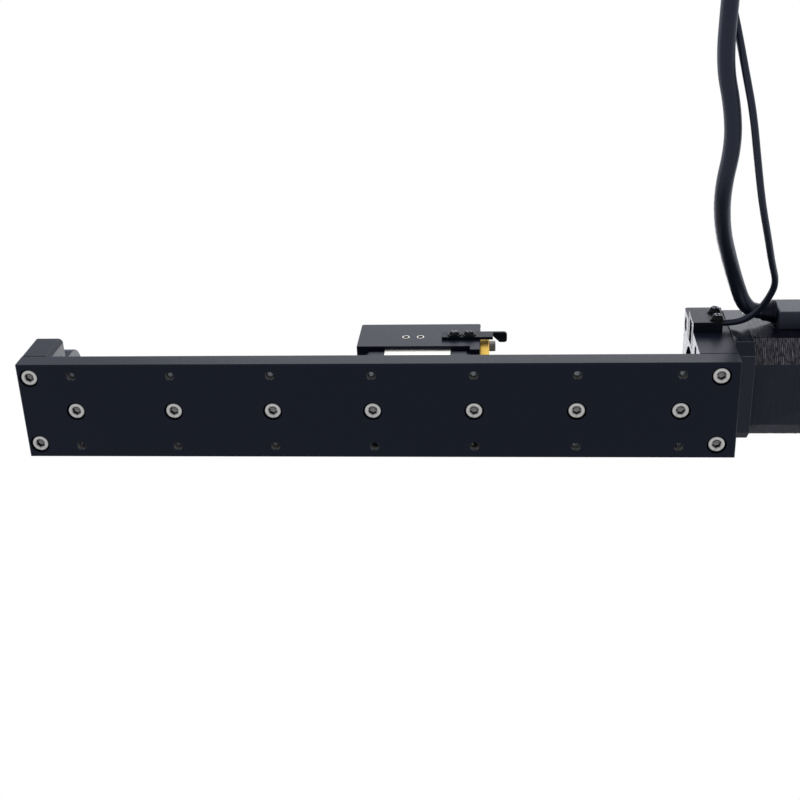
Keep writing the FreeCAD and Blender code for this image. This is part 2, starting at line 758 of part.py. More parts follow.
def stator_slots(stator):
    """Cuts the winding slots between the poles and makes one coil round each pole."""
    count = int(value("pole_count"))
    coils = []
    for i in range(count):
        slot = []
        inner = "stator_bore / 2 - 0.8"
        for pole, side, radius in ((i, 1, inner), (i, 1, "slot_radius"), (i + 1, -1, "slot_radius"),
                                   (i + 1, -1, inner)):
            angle = 360.0 * pole / count
            y = f"({radius}) * cos({angle}) - {side} * pole_width / 2 * sin({angle})"
            z = f"axis_z + ({radius}) * sin({angle}) + {side} * pole_width / 2 * cos({angle})"
            slot.append((y, z))
        stator.pocket("YZ", "stack_end", "motor_stack_length", slot)
        coils.append(pole_coil(360.0 * i / count))
    keep(group(coils), "motor_coils")


def pole_coil(angle):
    """One winding: a flat wire ring that stands on both ends of a pole."""
    start = "stack_start - coil_wall - coil_play"
    overall = "motor_stack_length + 2 * (coil_wall + coil_play)"
    obj = cut(
        block("0", "-(pole_width / 2 + coil_play + coil_wall)", "0", overall,
              "pole_width + 2 * (coil_play + coil_wall)", "coil_depth"),
        block("coil_wall", "-(pole_width / 2 + coil_play)", "0", f"{overall} - 2 * coil_wall",
              "pole_width + 2 * coil_play", "coil_depth"),
    )
    obj.Placement = Placement(Vector(), Rotation(Vector(1, 0, 0), angle - 90))
    radius = "stator_bore / 2 + 0.8"
    bind(obj, **{"Placement.Base.x": start, "Placement.Base.y": f"({radius}) * cos({angle})",
                 "Placement.Base.z": f"axis_z + ({radius}) * sin({angle})"})
    return obj


def terminal_box():
    """The box on the motor's side that the motor lead comes out of, with its flanged rubber boot."""
    piece = Piece("terminal_box")
    outline = rectangle("box_side", "box_low", "motor_side", "box_low + terminal_box_height")
    piece.pad("YZ", "box_start", "terminal_box_length", outline)

    def outer_edge(box):
        return near(box.YMin, value("box_side")) and near(box.YLength, 0)

    piece.dress("Fillet", "terminal_box_fillet", outer_edge)
    tip = "gland_collar_start - gland_boot_length"
    flange = "box_start - gland_flange_length"
    bore = "motor_lead_diameter / 2 + gland_play"
    profile = [
        (tip, bore),
        (tip, "gland_boot_tip / 2"),
        ("gland_collar_start", "gland_boot_diameter / 2"),
        ("gland_collar_start", "gland_collar_diameter / 2"),
        (flange, "gland_collar_diameter / 2"),
        (flange, "gland_diameter / 2"),
        ("box_start", "gland_diameter / 2"),
        ("box_start", bore),
    ]
    Piece("cable_gland").revolve(profile, "gland_z", "gland_y")


def carriage():
    """The carriage body over the guide block, with its nut bore, screw holes and side taps."""
    piece = Piece("carriage_body")
    outline = rectangle("carriage_side", "guide_top", "-(carriage_side)", "carriage_top")
    piece.pad("YZ", "carriage_start", "carriage_length", outline)
    lip = rectangle("carriage_side", "guide_top - carriage_lip_drop", "-(carriage_side)", "guide_top")
    piece.pad("YZ", "carriage_lip_start", "carriage_lip_length", lip)
    rail_way = rectangle("-(channel_half + 1)", "guide_top - carriage_lip_drop", "channel_half + 1", "guide_top")
    piece.pocket("YZ", "carriage_end", "carriage_lip_length", rail_way)
    bore = [("0", "axis_z", "nut_body_diameter + 2 * running_play")]
    piece.pocket("YZ", "carriage_end", "nut_body_length + 1", circles=bore)
    way = [("0", "axis_z", "screw_diameter + 2")]
    piece.pocket("YZ", "carriage_end", "carriage_length", circles=way)
    taps = [(y, z, "nut_screw_diameter + 2 * thread_play") for y, z in nut_corners()]
    piece.pocket("YZ", "carriage_end", "nut_screw_length - nut_flange_thickness + thread_play", circles=taps)
    guide = guide_screw_places()
    seats = [(x, y, "cap_screw_counterbore") for x, y in guide]
    piece.pocket("XY", "carriage_top", "carriage_height - guide_screw_grip", circles=seats)
    holes = [(x, y, "cap_screw_bore") for x, y in guide]
    piece.pocket("XY", "carriage_top", "carriage_height", circles=holes)
    pattern = [(f"carriage_rest + {a} * carriage_hole_pitch_long / 2", f"{b} * carriage_hole_pitch_across / 2",
                "side_hole_diameter") for a in (-1, 1) for b in (-1, 1)]
    piece.pocket("XY", "carriage_top", "carriage_hole_depth", circles=pattern)
    side = [(x, "side_tap_z", "side_tap_diameter") for x in side_taps()]
    piece.pocket("XZ", "carriage_side", "side_tap_depth", circles=side)

    def tap_rim(box):
        on_side = near(box.YMin, value("carriage_side")) and near(box.YLength, 0)
        return on_side and abs(box.XLength - value("side_tap_diameter")) < value("thread_play")

    piece.dress("Chamfer", "side_tap_countersink", tap_rim)

    def end_edge(box):
        across = near(box.XLength, 0) and near(box.ZLength, 0) and near(box.YLength, value("carriage_width"))
        return across and near(box.ZMin, value("carriage_top"))

    piece.dress("Fillet", "carriage_fillet", end_edge)


def side_taps():
    """The X places of the four taps in the carriage's side, two pairs."""
    return [f"{middle} + {side} * side_pair_pitch / 2"
            for middle in ("carriage_rest + side_pair_first", "carriage_end + side_pair_second")
            for side in (-1, 1)]


def guide_screw_places():
    """The X and Y places of the four screws that hold the carriage on the guide block."""
    return [(f"carriage_rest + {a} * guide_screw_pitch_long / 2", f"{b} * guide_screw_pitch_across / 2")
            for a in (-1, 1) for b in (-1, 1)]


def nut_corners():
    """The Y and Z places of the nut's four screws, on the diagonals."""
    reach = "nut_bolt_circle / 2 * cos(45)"
    return [(f"{a} * {reach}", f"axis_z + {b} * {reach}") for a in (-1, 1) for b in (-1, 1)]


def guide_outline(inset, drop, groove):
    """The guide block's section: a saddle round the rail, with or without its ball grooves."""
    half = f"guide_width / 2 - {inset}"
    top = f"guide_top - {drop}"
    low = f"guide_bottom + {inset}"
    side = [
        ("channel_half", "channel_top"),
        ("channel_half", "ball_z + rail_groove_depth"),
        ("channel_half + rail_groove_depth", "ball_z"),
        ("channel_half", "ball_z - rail_groove_depth"),
        ("channel_half", low),
        (f"{half} - guide_corner_chamfer", low),
        (half, f"{low} + guide_corner_chamfer"),
        (half, top),
    ]
    if not groove:
        side = side[:1] + side[4:]
    left = [(f"-({across})", up) for across, up in side]
    return side + left[::-1]


def guide_block():
    """The steel guide block with its end caps, seals, balls and screws."""
    steel = Piece("guide_block_body")
    steel.pad("YZ", "steel_start", "guide_steel_length", guide_outline("0", "0", True))
    taps = [(x, y, "cap_screw_diameter + 2 * thread_play") for x, y in guide_screw_places()]
    steel.pocket("XY", "guide_top", "guide_screw_depth + thread_play", circles=taps)
    for number, (cap_start, seal_start) in enumerate((
        ("steel_start - guide_cap_length", "steel_start - guide_cap_length - guide_seal_length"),
        ("steel_end", "steel_end + guide_cap_length"),
    ), start=1):
        cap = Piece(f"guide_end_cap_{number}")
        cap.pad("YZ", cap_start, "guide_cap_length", guide_outline("guide_cap_inset", "guide_cap_drop", False))
        seal = Piece(f"guide_seal_{number}")
        seal.pad("YZ", seal_start, "guide_seal_length", guide_outline("2 * guide_cap_inset", "1.5 * guide_cap_drop",
                                                                      False))
    count = int(value("guide_ball_count"))
    balls = [ball(f"carriage_rest + {i - (count - 1) / 2} * guide_ball_pitch", f"{side} * ball_y", "ball_z",
                  "guide_ball_diameter") for side in (-1, 1) for i in range(count)]
    keep(group(balls), "guide_balls")
    heads = ("cap_screw_head", "cap_screw_head_height", "cap_screw_diameter", "guide_screw_grip + guide_screw_depth")
    top = "guide_top + guide_screw_grip + cap_screw_head_height"
    keep(group([screw("z", x, y, top, *heads, turned=True) for x, y in guide_screw_places()]), "guide_block_screws")


def lead_nut():
    """The brass flange nut and its screws."""
    piece = Piece("lead_nut")
    piece.pad("YZ", "carriage_end", "nut_flange_thickness", circles=[("0", "axis_z", "nut_flange_diameter")])
    body = [("0", "axis_z", "nut_body_diameter")]
    piece.pad("YZ", "carriage_end - nut_body_length", "nut_body_length", circles=body)
    for side in (-1, 1):
        low = f"axis_z + {side} * nut_flat_width / 2"
        high = f"axis_z + {side} * nut_flange_diameter / 2"
        outline = rectangle("-nut_flange_diameter / 2", low, "nut_flange_diameter / 2", high)
        piece.pocket("YZ", "nut_face", "nut_flange_thickness", outline)
    thread = [("0", "axis_z", "screw_diameter + 2 * running_play")]
    piece.pocket("YZ", "nut_face", "nut_body_length + nut_flange_thickness", circles=thread)
    holes = [(y, z, "nut_screw_diameter + 2 * thread_play") for y, z in nut_corners()]
    piece.pocket("YZ", "nut_face", "nut_flange_thickness", circles=holes)
    heads = ("nut_screw_head", "nut_screw_head_height", "nut_screw_diameter", "nut_screw_length")
    end = "nut_face + nut_screw_head_height"
    keep(group([screw("x", end, y, z, *heads, turned=True) for y, z in nut_corners()]), "nut_screws")


def sensor_flag():
    """The bent strip on the carriage's side whose tab trips the home sensor."""
    piece = Piece("flag_bracket")
    strip = rectangle("carriage_end - flag_back", "flag_low", "flag_bend", "flag_high")
    piece.pad("XZ", "carriage_side", "flag_thickness", strip)
    inner = "flag_outside + flag_tab_width"
    tab = [
        ("flag_bend - flag_lip_length", "flag_outside"),
        ("flag_tip", "flag_outside"),
        ("flag_tip", inner),
        ("flag_bend + flag_tab_cut", inner),
        ("flag_bend", f"{inner} - flag_tab_cut"),
        ("flag_bend - flag_lip_length", f"{inner} - flag_tab_cut"),
    ]
    piece.pad("XY", "flag_high - flag_thickness", "flag_thickness", tab)
    places = side_taps()[2:]
    holes = [(x, "side_tap_z", "pan_screw_diameter + 2 * thread_play") for x in places]
    piece.pocket("XZ", "flag_outside", "flag_thickness", circles=holes)

    def tip_edge(box):
        return near(box.XMin, value("flag_tip")) and near(box.ZLength, value("flag_thickness")) \
            and near(box.YLength, 0)

    piece.dress("Fillet", "flag_tab_radius", tip_edge)
    pan_screws("flag", [(x, "side_tap_z") for x in places], "flag_outside")


# Leads: the hand-chosen points of the stretches that aren't coiled, from the exit to the coil.
MOTOR_STRAIGHT = 6.3
SENSOR_STRAIGHT = 7.0
MOTOR_ROUTE = [
    (147.5, -29.8, 37.9),
    (144.0, -38.5, 36.4),
    (139.6, -50.5, 30.0),
    (134.8, -68.0, 17.0),
    (131.4, -86.0, 6.4),
    (132.4, -103.5, 3.4),
    (132.2, -117.0, 3.7),
    (129.3, -132.0, 3.7),
    (128.2, -152.0, 3.7),
    (129.3, -171.0, 3.7),
    (128.8, -189.0, 3.7),
]
SENSOR_ROUTE = [
    (152.2, -28.8, 31.0),
    (155.2, -36.0, 27.2),
    (155.7, -44.5, 21.6),
    (153.3, -55.0, 14.6),
    (149.2, -68.0, 7.4),
    (145.0, -82.0, 2.6),
    (141.9, -97.0, 1.75),
    (138.6, -115.0, 1.75),
    (135.6, -129.0, 3.4),
    (133.0, -142.0, 9.0),
    (129.6, -155.0, 11.6),
    (123.6, -168.0, 11.2),
    (117.8, -180.0, 6.4),
    (115.0, -192.0, 3.0),
    (114.3, -204.0, 1.95),
]
MOTOR_COIL = (165.9, -204.0)
SENSOR_COIL = (97.0, -210.0)
ARC_SHARE = 0.45


def lead_path(points):
    """A path of straight runs joined by arcs as large as the runs allow."""
    corners = [Vector(*p) for p in points]
    edges = []
    at = corners[0]
    for before, corner, after in zip(corners, corners[1:], corners[2:]):
        into = (corner - before).normalize()
        out = (after - corner).normalize()
        turn = into.getAngle(out)
        reach = ARC_SHARE * min((corner - before).Length, (after - corner).Length)
        radius = reach / math.tan(turn / 2)
        print(f"bend of {math.degrees(turn):.0f} degrees with a radius of {radius:.1f} mm")
        first = corner - into * reach
        last = corner + out * reach
        inward = (out - into).normalize()
        middle = corner + inward * (radius / math.cos(turn / 2) - radius)
        edges.append(Part.LineSegment(at, first).toShape())
        edges.append(Part.Arc(first, middle, last).toShape())
        at = last
    edges.append(Part.LineSegment(at, corners[-1]).toShape())
    return Part.Wire(edges)


def lead_tube(name, points, diameter):
    """A plain round lead swept along its route."""
    path = lead_path(points)
    along = Vector(*points[1]) - Vector(*points[0])
    section = Part.Wire(Part.makeCircle(value(diameter) / 2, Vector(*points[0]), along))
    tube = path.makePipeShell([section], True, True)
    expected = math.pi * value(diameter) ** 2 / 4 * path.Length
    print(f"{name}: length {path.Length:.1f} mm, volume ratio {tube.Volume / expected:.4f}")
    feature = doc.addObject("Part::Feature", "Lead")
    feature.Shape = tube
    keep(feature, name)


def hoop(middle, radius, width, height):
    """A ring that lies on the tie's thickness, in the outer shape of a coil."""
    x, y = middle
    outer = rod("z", x, y, "tie_thickness", f"2 * {radius} + {width}", height)
    return cut(outer, rod("z", x, y, "tie_thickness", f"2 * {radius} - {width}", height))


def put_away(prefix, middle, tail_side):
    """A coil of spare lead with its tie, its tail and the plug on the end."""
    x, y = middle
    diameter = f"{prefix}_lead_diameter"
    radius = f"{prefix}_coil_radius"
    tail = f"{prefix}_tail_length"
    width = f"{prefix}_coil_rows * {diameter}"
    height = f"{prefix}_coil_layers * {diameter}"
    tail_x = f"{x}" if tail_side > 0 else f"{x} - {tail}"
    tail_y = f"{y} - {radius} - ({prefix}_coil_rows - 1) / 2 * {diameter}"
    run = rod("x", tail_x, tail_y, f"tie_thickness + {diameter} / 2", diameter, tail)
    keep(fuse(hoop(middle, radius, width, height), run), f"{prefix}_lead_coil")
    tie_y = f"{y} + {radius} - {width} / 2"
    frame = block(f"{x} - tie_width / 2", f"{tie_y} - tie_thickness", "0", "tie_width",
                  f"{width} + 2 * tie_thickness", f"{height} + 2 * tie_thickness")
    room = block(f"{x} - tie_width / 2", tie_y, "tie_thickness", "tie_width", width, height)
    keep(cut(frame, room, hoop(middle, radius, width, height)), f"{prefix}_lead_tie")
    connector(prefix, f"{x} + ({tail_side}) * {tail}", tail_y, tail_side)


def connector(prefix, start, middle, side):
    """The plug on a lead's end: a collar at the lead, a wider shell and an open mouth."""
    length, width, height = (f"{prefix}_plug_{name}" for name in ("length", "width", "height"))
    collar, mouth = (f"{prefix}_plug_{name}" for name in ("collar", "mouth"))

    def slab(first, last, step):
        low = first if side > 0 else f"-({last})"
        return block(f"{start} + {low}", f"{middle} - {width} / 2 + {step}", step, f"{last} - ({first})",
                     f"{width} - 2 * {step}", f"{height} - 2 * {step}")

    neck = slab("0", collar, "plug_collar_step")
    shell = slab(collar, length, "0")
    keep(cut(fuse(neck, shell), slab(f"{length} - {mouth}", length, "plug_wall")), f"{prefix}_lead_plug")


def leads():
    """The motor lead and the sensor lead, each straight out of its exit and then along its route."""
    gland_end = (value("gland_collar_start"), value("gland_y"), value("gland_z"))
    straight = (gland_end[0] - MOTOR_STRAIGHT, *gland_end[1:])
    lead_tube("motor_lead", [gland_end, straight, *MOTOR_ROUTE], "motor_lead_diameter")
    put_away("motor", MOTOR_COIL, 1)
    sensor_end = (value("mount_face + sensor_length"), value("sensor_outside + sensor_lead_inset"),
                  value("sensor_low + sensor_height / 4"))
    straight = (sensor_end[0] + SENSOR_STRAIGHT, *sensor_end[1:])
    lead_tube("sensor_lead", [sensor_end, straight, *SENSOR_ROUTE], "sensor_lead_diameter")
    put_away("sensor", SENSOR_COIL, -1)


def check_and_write():
    """Stops if any object failed, then writes each sub-part to its own file."""
    doc.recompute()
    for obj in doc.Objects:
        if "Invalid" in obj.State or "Error" in obj.State:
            raise RuntimeError(f"{obj.Label} failed: {obj.State}")
    for part in sub_parts:
        if part.Shape.isNull() or not part.Shape.isValid():
            raise RuntimeError(f"{part.Label} has no valid shape")
    os.makedirs("parts", exist_ok=True)
    for part in sub_parts:
        part.Shape.exportStep(f"parts/{part.Label}.step")
        box = part.Shape.BoundBox
        print(f"{part.Label}: {len(part.Shape.Solids)} solids, volume {part.Shape.Volume:.1f}, "
              f"X {box.XMin:.2f} {box.XMax:.2f} Y {box.YMin:.2f} {box.YMax:.2f} Z {box.ZMin:.2f} {box.ZMax:.2f}")


base_plate()
plate_screws("rail_screws", [(x, "0") for x in columns()], "rail_screw_length")
plate_screws("end_block_screws", corner_places()[:2], "corner_screw_length")
plate_screws("motor_mount_screws", corner_places()[2:], "corner_screw_length")
linear_rail()
end_block()
bearing("end_bearing", "bearing_face", "end_bearing_width", "end_bearing_diameter")
end_rings()
lead_screw()
motor_mount()
home_sensor()
motor()
bearing("front_bearing", "front_bearing_face", "motor_bearing_width", "motor_bearing_diameter")
bearing("rear_bearing", "rear_bearing_face", "motor_bearing_width", "motor_bearing_diameter")
terminal_box()
carriage()
guide_block()
lead_nut()
sensor_flag()
leads()
check_and_write()
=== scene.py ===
import json
import logging
import math
from dataclasses import dataclass, field
from enum import Enum
from typing import Callable, ClassVar, Sequence

import bmesh
import bpy
from mathutils import Matrix, Vector


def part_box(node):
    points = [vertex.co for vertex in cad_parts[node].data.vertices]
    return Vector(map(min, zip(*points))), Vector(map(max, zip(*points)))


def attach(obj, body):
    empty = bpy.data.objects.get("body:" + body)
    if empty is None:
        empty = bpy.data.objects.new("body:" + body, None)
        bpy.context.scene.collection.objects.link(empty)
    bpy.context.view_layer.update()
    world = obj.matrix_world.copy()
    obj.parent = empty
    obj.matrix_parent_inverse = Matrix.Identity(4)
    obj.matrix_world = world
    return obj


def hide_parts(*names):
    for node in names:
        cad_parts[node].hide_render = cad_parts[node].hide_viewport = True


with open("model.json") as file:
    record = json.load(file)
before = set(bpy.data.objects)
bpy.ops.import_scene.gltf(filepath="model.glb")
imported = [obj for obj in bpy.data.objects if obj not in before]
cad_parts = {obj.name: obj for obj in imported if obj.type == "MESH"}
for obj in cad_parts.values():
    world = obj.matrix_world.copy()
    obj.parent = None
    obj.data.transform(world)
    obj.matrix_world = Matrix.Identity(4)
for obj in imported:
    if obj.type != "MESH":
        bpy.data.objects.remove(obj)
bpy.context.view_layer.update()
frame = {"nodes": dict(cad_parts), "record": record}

# The linear actuator as it looks: finishes, drawn threads, socket screws, laminations and the two leads, around the
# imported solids. Lengths in the tables are millimetres, and MM turns them into the scene's metres.

MM = 0.001
AXIS_Z = 35.5
LOG = logging.getLogger("actuator")
MARK = "mark"
SHEET_TONE_AND_LIGHT = "sheet_tone"
TWIST_SEED = 7
WELD = 2e-6
COPY_SMOOTH = 35.0
COLUMNS = [40.0 * i - 120.0 for i in range(7)]
HOLE_ROWS = (-15.5, 15.5)
CORNER_ROWS = (-14.7, 14.7)
SIDE_HOLE_Z = 34.4

Point = tuple[float, float, float]
Colour = tuple[float, float, float]
WHITE: Colour = (1.0, 1.0, 1.0)


class Pattern(Enum):
    """How a finish varies over its surface."""

    SPECKLE = "even fine grain"
    STREAK = "grain drawn out along the rail"
    WOUND = "fine bands across the rail"


class Body(Enum):
    """The three rigid bodies of the part."""

    BASE = "base"
    CARRIAGE = "carriage"
    SCREW = "screw"


class Drive(Enum):
    """The recess in a screw's head."""

    HEX = "hexagon socket"
    CROSS = "cross recess"


class NodeBuilder:
    """A node tree under construction."""

    def __init__(self, tree: bpy.types.NodeTree) -> None:
        """Takes the tree that gets the nodes."""
        self.tree = tree

    def feed(self, node: bpy.types.Node, values: dict[str | int, object]) -> None:
        """Links sockets to a node's inputs, or sets plain values there.

        Args:
            node: the node.
            values: sockets, numbers or colours for its inputs.
        """
        for key, value in values.items():
            if isinstance(value, bpy.types.NodeSocket):
                self.tree.links.new(value, node.inputs[key])
            else:
                node.inputs[key].default_value = value

    def node(self, kind: str, values: dict[str | int, object] | None = None, **settings: object) -> bpy.types.Node:
        """Adds a node.

        Args:
            kind: the node's type.
            values: sockets or plain values for its inputs.
            settings: the node's own properties.

        Returns:
            The node.
        """
        made = self.tree.nodes.new(kind)
        for key, value in settings.items():
            setattr(made, key, value)
        self.feed(made, values or {})
        return made

    def maths(self, operation: str, *values: object) -> bpy.types.NodeSocket:
        """Adds a maths node.

        Args:
            operation: the node's operation.
            values: sockets or numbers.

        Returns:
            The result's socket.
        """
        return self.node("ShaderNodeMath", dict(enumerate(values)), operation=operation).outputs[0]

    def spread(self, value: bpy.types.NodeSocket, source: tuple[float, float],
               target: tuple[float, float] = (0.0, 1.0)) -> bpy.types.NodeSocket:
        """Maps a value from one range to another.

        Args:
            value: the value's socket.
            source: the range that it is in.
            target: the range that it goes to.

        Returns:
            The mapped value.
        """
        ends = dict(zip(("From Min", "From Max", "To Min", "To Max"), (*source, *target)))
        return self.node("ShaderNodeMapRange", {"Value": value, **ends}).outputs[0]

    def noise(self, stretch: Point, scale: float, detail: float) -> bpy.types.NodeSocket:
        """Adds noise in Object coordinates.

        Args:
            stretch: the scale along each axis.
            scale: cells per metre.
            detail: levels of finer noise.

        Returns:
            The noise, about 0.5.
        """
        place = self.node("ShaderNodeTexCoord").outputs["Object"]
        stretched = self.node("ShaderNodeMapping", {"Vector": place, "Scale": stretch}).outputs["Vector"]
        return self.node("ShaderNodeTexNoise", {"Vector": stretched, "Scale": scale, "Detail": detail}).outputs["Fac"]

    def blend(self, factor: bpy.types.NodeSocket, first: "bpy.types.NodeSocket | Colour",
              second: Colour) -> bpy.types.NodeSocket:
        """Mixes two colours.

        Args:
            factor: the share of the second colour.
            first: the first colour or its socket.
            second: the second colour.

        Returns:
            The mixed colour.
        """
        under = first if isinstance(first, bpy.types.NodeSocket) else (*first, 1.0)
        return self.node("ShaderNodeMix", {"Factor": factor, "A": under, "B": (*second, 1.0)},
                         data_type="RGBA").outputs["Result"]

    def cover(self, factor: bpy.types.NodeSocket, under: bpy.types.NodeSocket,
              over: bpy.types.Node) -> bpy.types.NodeSocket:
        """Mixes a second shader over a first one.

        Args:
            factor: the share of the second shader.
            under: the first shader's socket.
            over: the second shader.

        Returns:
            The mixed shader's socket.
        """
        return self.node("ShaderNodeMixShader", {0: factor, 1: under, 2: over.outputs[0]}).outputs[0]


@dataclass(frozen=True)
class Finish:
    """A surface finish: its colours, gloss and grain.

    Attributes:
        name: the finish's name, which is the record's material slot or one of its variants.
        colour: linear base colour.
        accent: linear colour that the grain mixes in.
        metallic: 1 for bare metal.
        gloss: lowest and highest roughness.
        specular: the shader's specular level.
        grain: cells of grain per metre.
        relief: height of the grain in metres.
        pattern: how the grain lies.
        edge: linear colour along worn edges, partly real wear and partly a painted highlight where edges catch the
            light.
        wear_and_highlight: share of that colour on a sharp edge.
        rounding: radius in metres over which edges catch the light.
        tint: linear colour of reflections met head on.
        mark: linear colour of the faces that a mesh marks, if they differ.
        mark_vary: the mesh's attribute that dims the mark, if any, along with short streaks; on the laminations it
            also paints lighter alternate sheets.
    """

    name: str
    colour: Colour
    accent: Colour
    metallic: float = 0.0
    gloss: tuple[float, float] = (0.4, 0.5)
    specular: float = 0.3
    grain: float = 3000.0
    relief: float = 0.00002
    pattern: Pattern = Pattern.SPECKLE
    edge: Colour = (0.2, 0.2, 0.2)
    wear_and_highlight: float = 0.0
    rounding: float = 0.0002
    tint: Colour = WHITE
    mark: Colour | None = None
    mark_vary: str = ""

    STRETCH: ClassVar[dict[Pattern, Point]] = {
        Pattern.SPECKLE: (1.0, 1.0, 1.0),
        Pattern.STREAK: (0.02, 1.0, 1.0),
        Pattern.WOUND: (1.0, 0.05, 0.05),
    }
    COARSENESS: ClassVar[float] = 0.25
    COARSE_DETAIL: ClassVar[float] = 5.0
    FINE_DETAIL: ClassVar[float] = 2.0
    BUMP: ClassVar[float] = 0.5
    EDGE_SAMPLES: ClassVar[int] = 4
    GRAIN_RANGE: ClassVar[tuple[float, float]] = (0.3, 0.7)
    SHARPNESS: ClassVar[tuple[float, float]] = (0.995, 0.86)
    EDGE_REACH: ClassVar[float] = 1.5
    WAVES: ClassVar[Point] = (1900.0, 420.0, 420.0)
    WAVE_RANGE: ClassVar[tuple[float, float]] = (0.34, 0.66)
    WAVE_DEPTH: ClassVar[tuple[float, float]] = (0.05, 1.95)

    def material(self) -> bpy.types.Material:
        """Makes the finish's node material, once.

        Returns:
            The material, named for the finish.
        """
        made = bpy.data.materials.get(f"finish_{self.name}")
        if made:
            return made
        made = bpy.data.materials.new(f"finish_{self.name}")
        made.use_nodes = True
        build = NodeBuilder(made.node_tree)
        stretch = self.STRETCH[self.pattern]
        coarse = build.noise(stretch, self.grain * self.COARSENESS, self.COARSE_DETAIL)
        fine = build.noise(stretch, self.grain, self.FINE_DETAIL)
        soft = build.node("ShaderNodeBevel", {"Radius": self.rounding}, samples=self.EDGE_SAMPLES)
        bump = build.node("ShaderNodeBump", {
            "Strength": self.BUMP, "Distance": self.relief, "Height": fine, "Normal": soft.outputs["Normal"]})
        plain = build.blend(coarse, self.colour, self.accent)
        shader = made.node_tree.nodes["Principled BSDF"]
        build.feed(shader, {
            "Metallic": self.metallic, "Specular IOR Level": self.specular, "Specular Tint": (*self.tint, 1.0),
            "Roughness": build.spread(coarse, self.GRAIN_RANGE, self.gloss), "Normal": bump.outputs["Normal"],
            "Base Color": self._marked(build, shader, self._worn_and_lit_edges(build, plain))})
        return made

    def _worn_and_lit_edges(self, build: NodeBuilder, colour: bpy.types.NodeSocket) -> bpy.types.NodeSocket:
        """Mixes the edge colour in along sharp edges: partly real wear, partly a painted highlight.

        Args:
            build: the material's node tree.
            colour: the colour of the flat surface.

        Returns:
            The colour with its worn edges and their painted highlight.
        """
        if self.wear_and_highlight <= 0.0:
            return colour
        soft = build.node("ShaderNodeBevel", {"Radius": self.rounding * self.EDGE_REACH}, samples=self.EDGE_SAMPLES)
        flat = build.node("ShaderNodeNewGeometry")
        along = build.node("ShaderNodeVectorMath", {0: soft.outputs["Normal"], 1: flat.outputs["True Normal"]},
                           operation="DOT_PRODUCT")
        # The edge colour is partly wear and partly a painted highlight along every sharp edge.
        worn_and_lit = build.spread(along.outputs["Value"], self.SHARPNESS, (0.0, self.wear_and_highlight))
        return build.blend(worn_and_lit, colour, self.edge)

    def _marked(self, build: NodeBuilder, shader: bpy.types.Node,
                colour: bpy.types.NodeSocket) -> bpy.types.NodeSocket:
        """Mixes the mark's colour in on marked faces, and makes them metallic: bare metal on some pieces, painted
        shade in screw sockets, and painted glints and highlights on pan heads, motor cap edges and laminations.

        Args:
            build: the material's node tree.
            shader: the material's shader.
            colour: the colour of the other faces.

        Returns:
            The colour with its marked faces.
        """
        if self.mark is None:
            return colour
        factor = build.node("ShaderNodeAttribute", attribute_name=MARK).outputs["Fac"]
        if self.mark_vary:
            tone_and_light = build.node("ShaderNodeAttribute", attribute_name=self.mark_vary).outputs["Fac"]
            waves = build.spread(build.noise(self.WAVES, 1.0, 1.0), self.WAVE_RANGE, self.WAVE_DEPTH)
            factor = build.maths("MULTIPLY", build.maths("MULTIPLY", factor, tone_and_light), waves)
        build.feed(shader, {"Metallic": build.spread(factor, (0.0, 1.0), (self.metallic, 1.0))})
        return build.blend(factor, colour, self.mark)


COOL: Colour = (0.80, 0.87, 1.0)
WARM: Colour = (1.075, 1.047, 0.926)


def steel(level: float) -> Colour:
    """A grey metal colour, warmed so that it looks neutral under the studio's cool reflections."""
    red, green, blue = WARM
    return red * level, green * level, blue * level


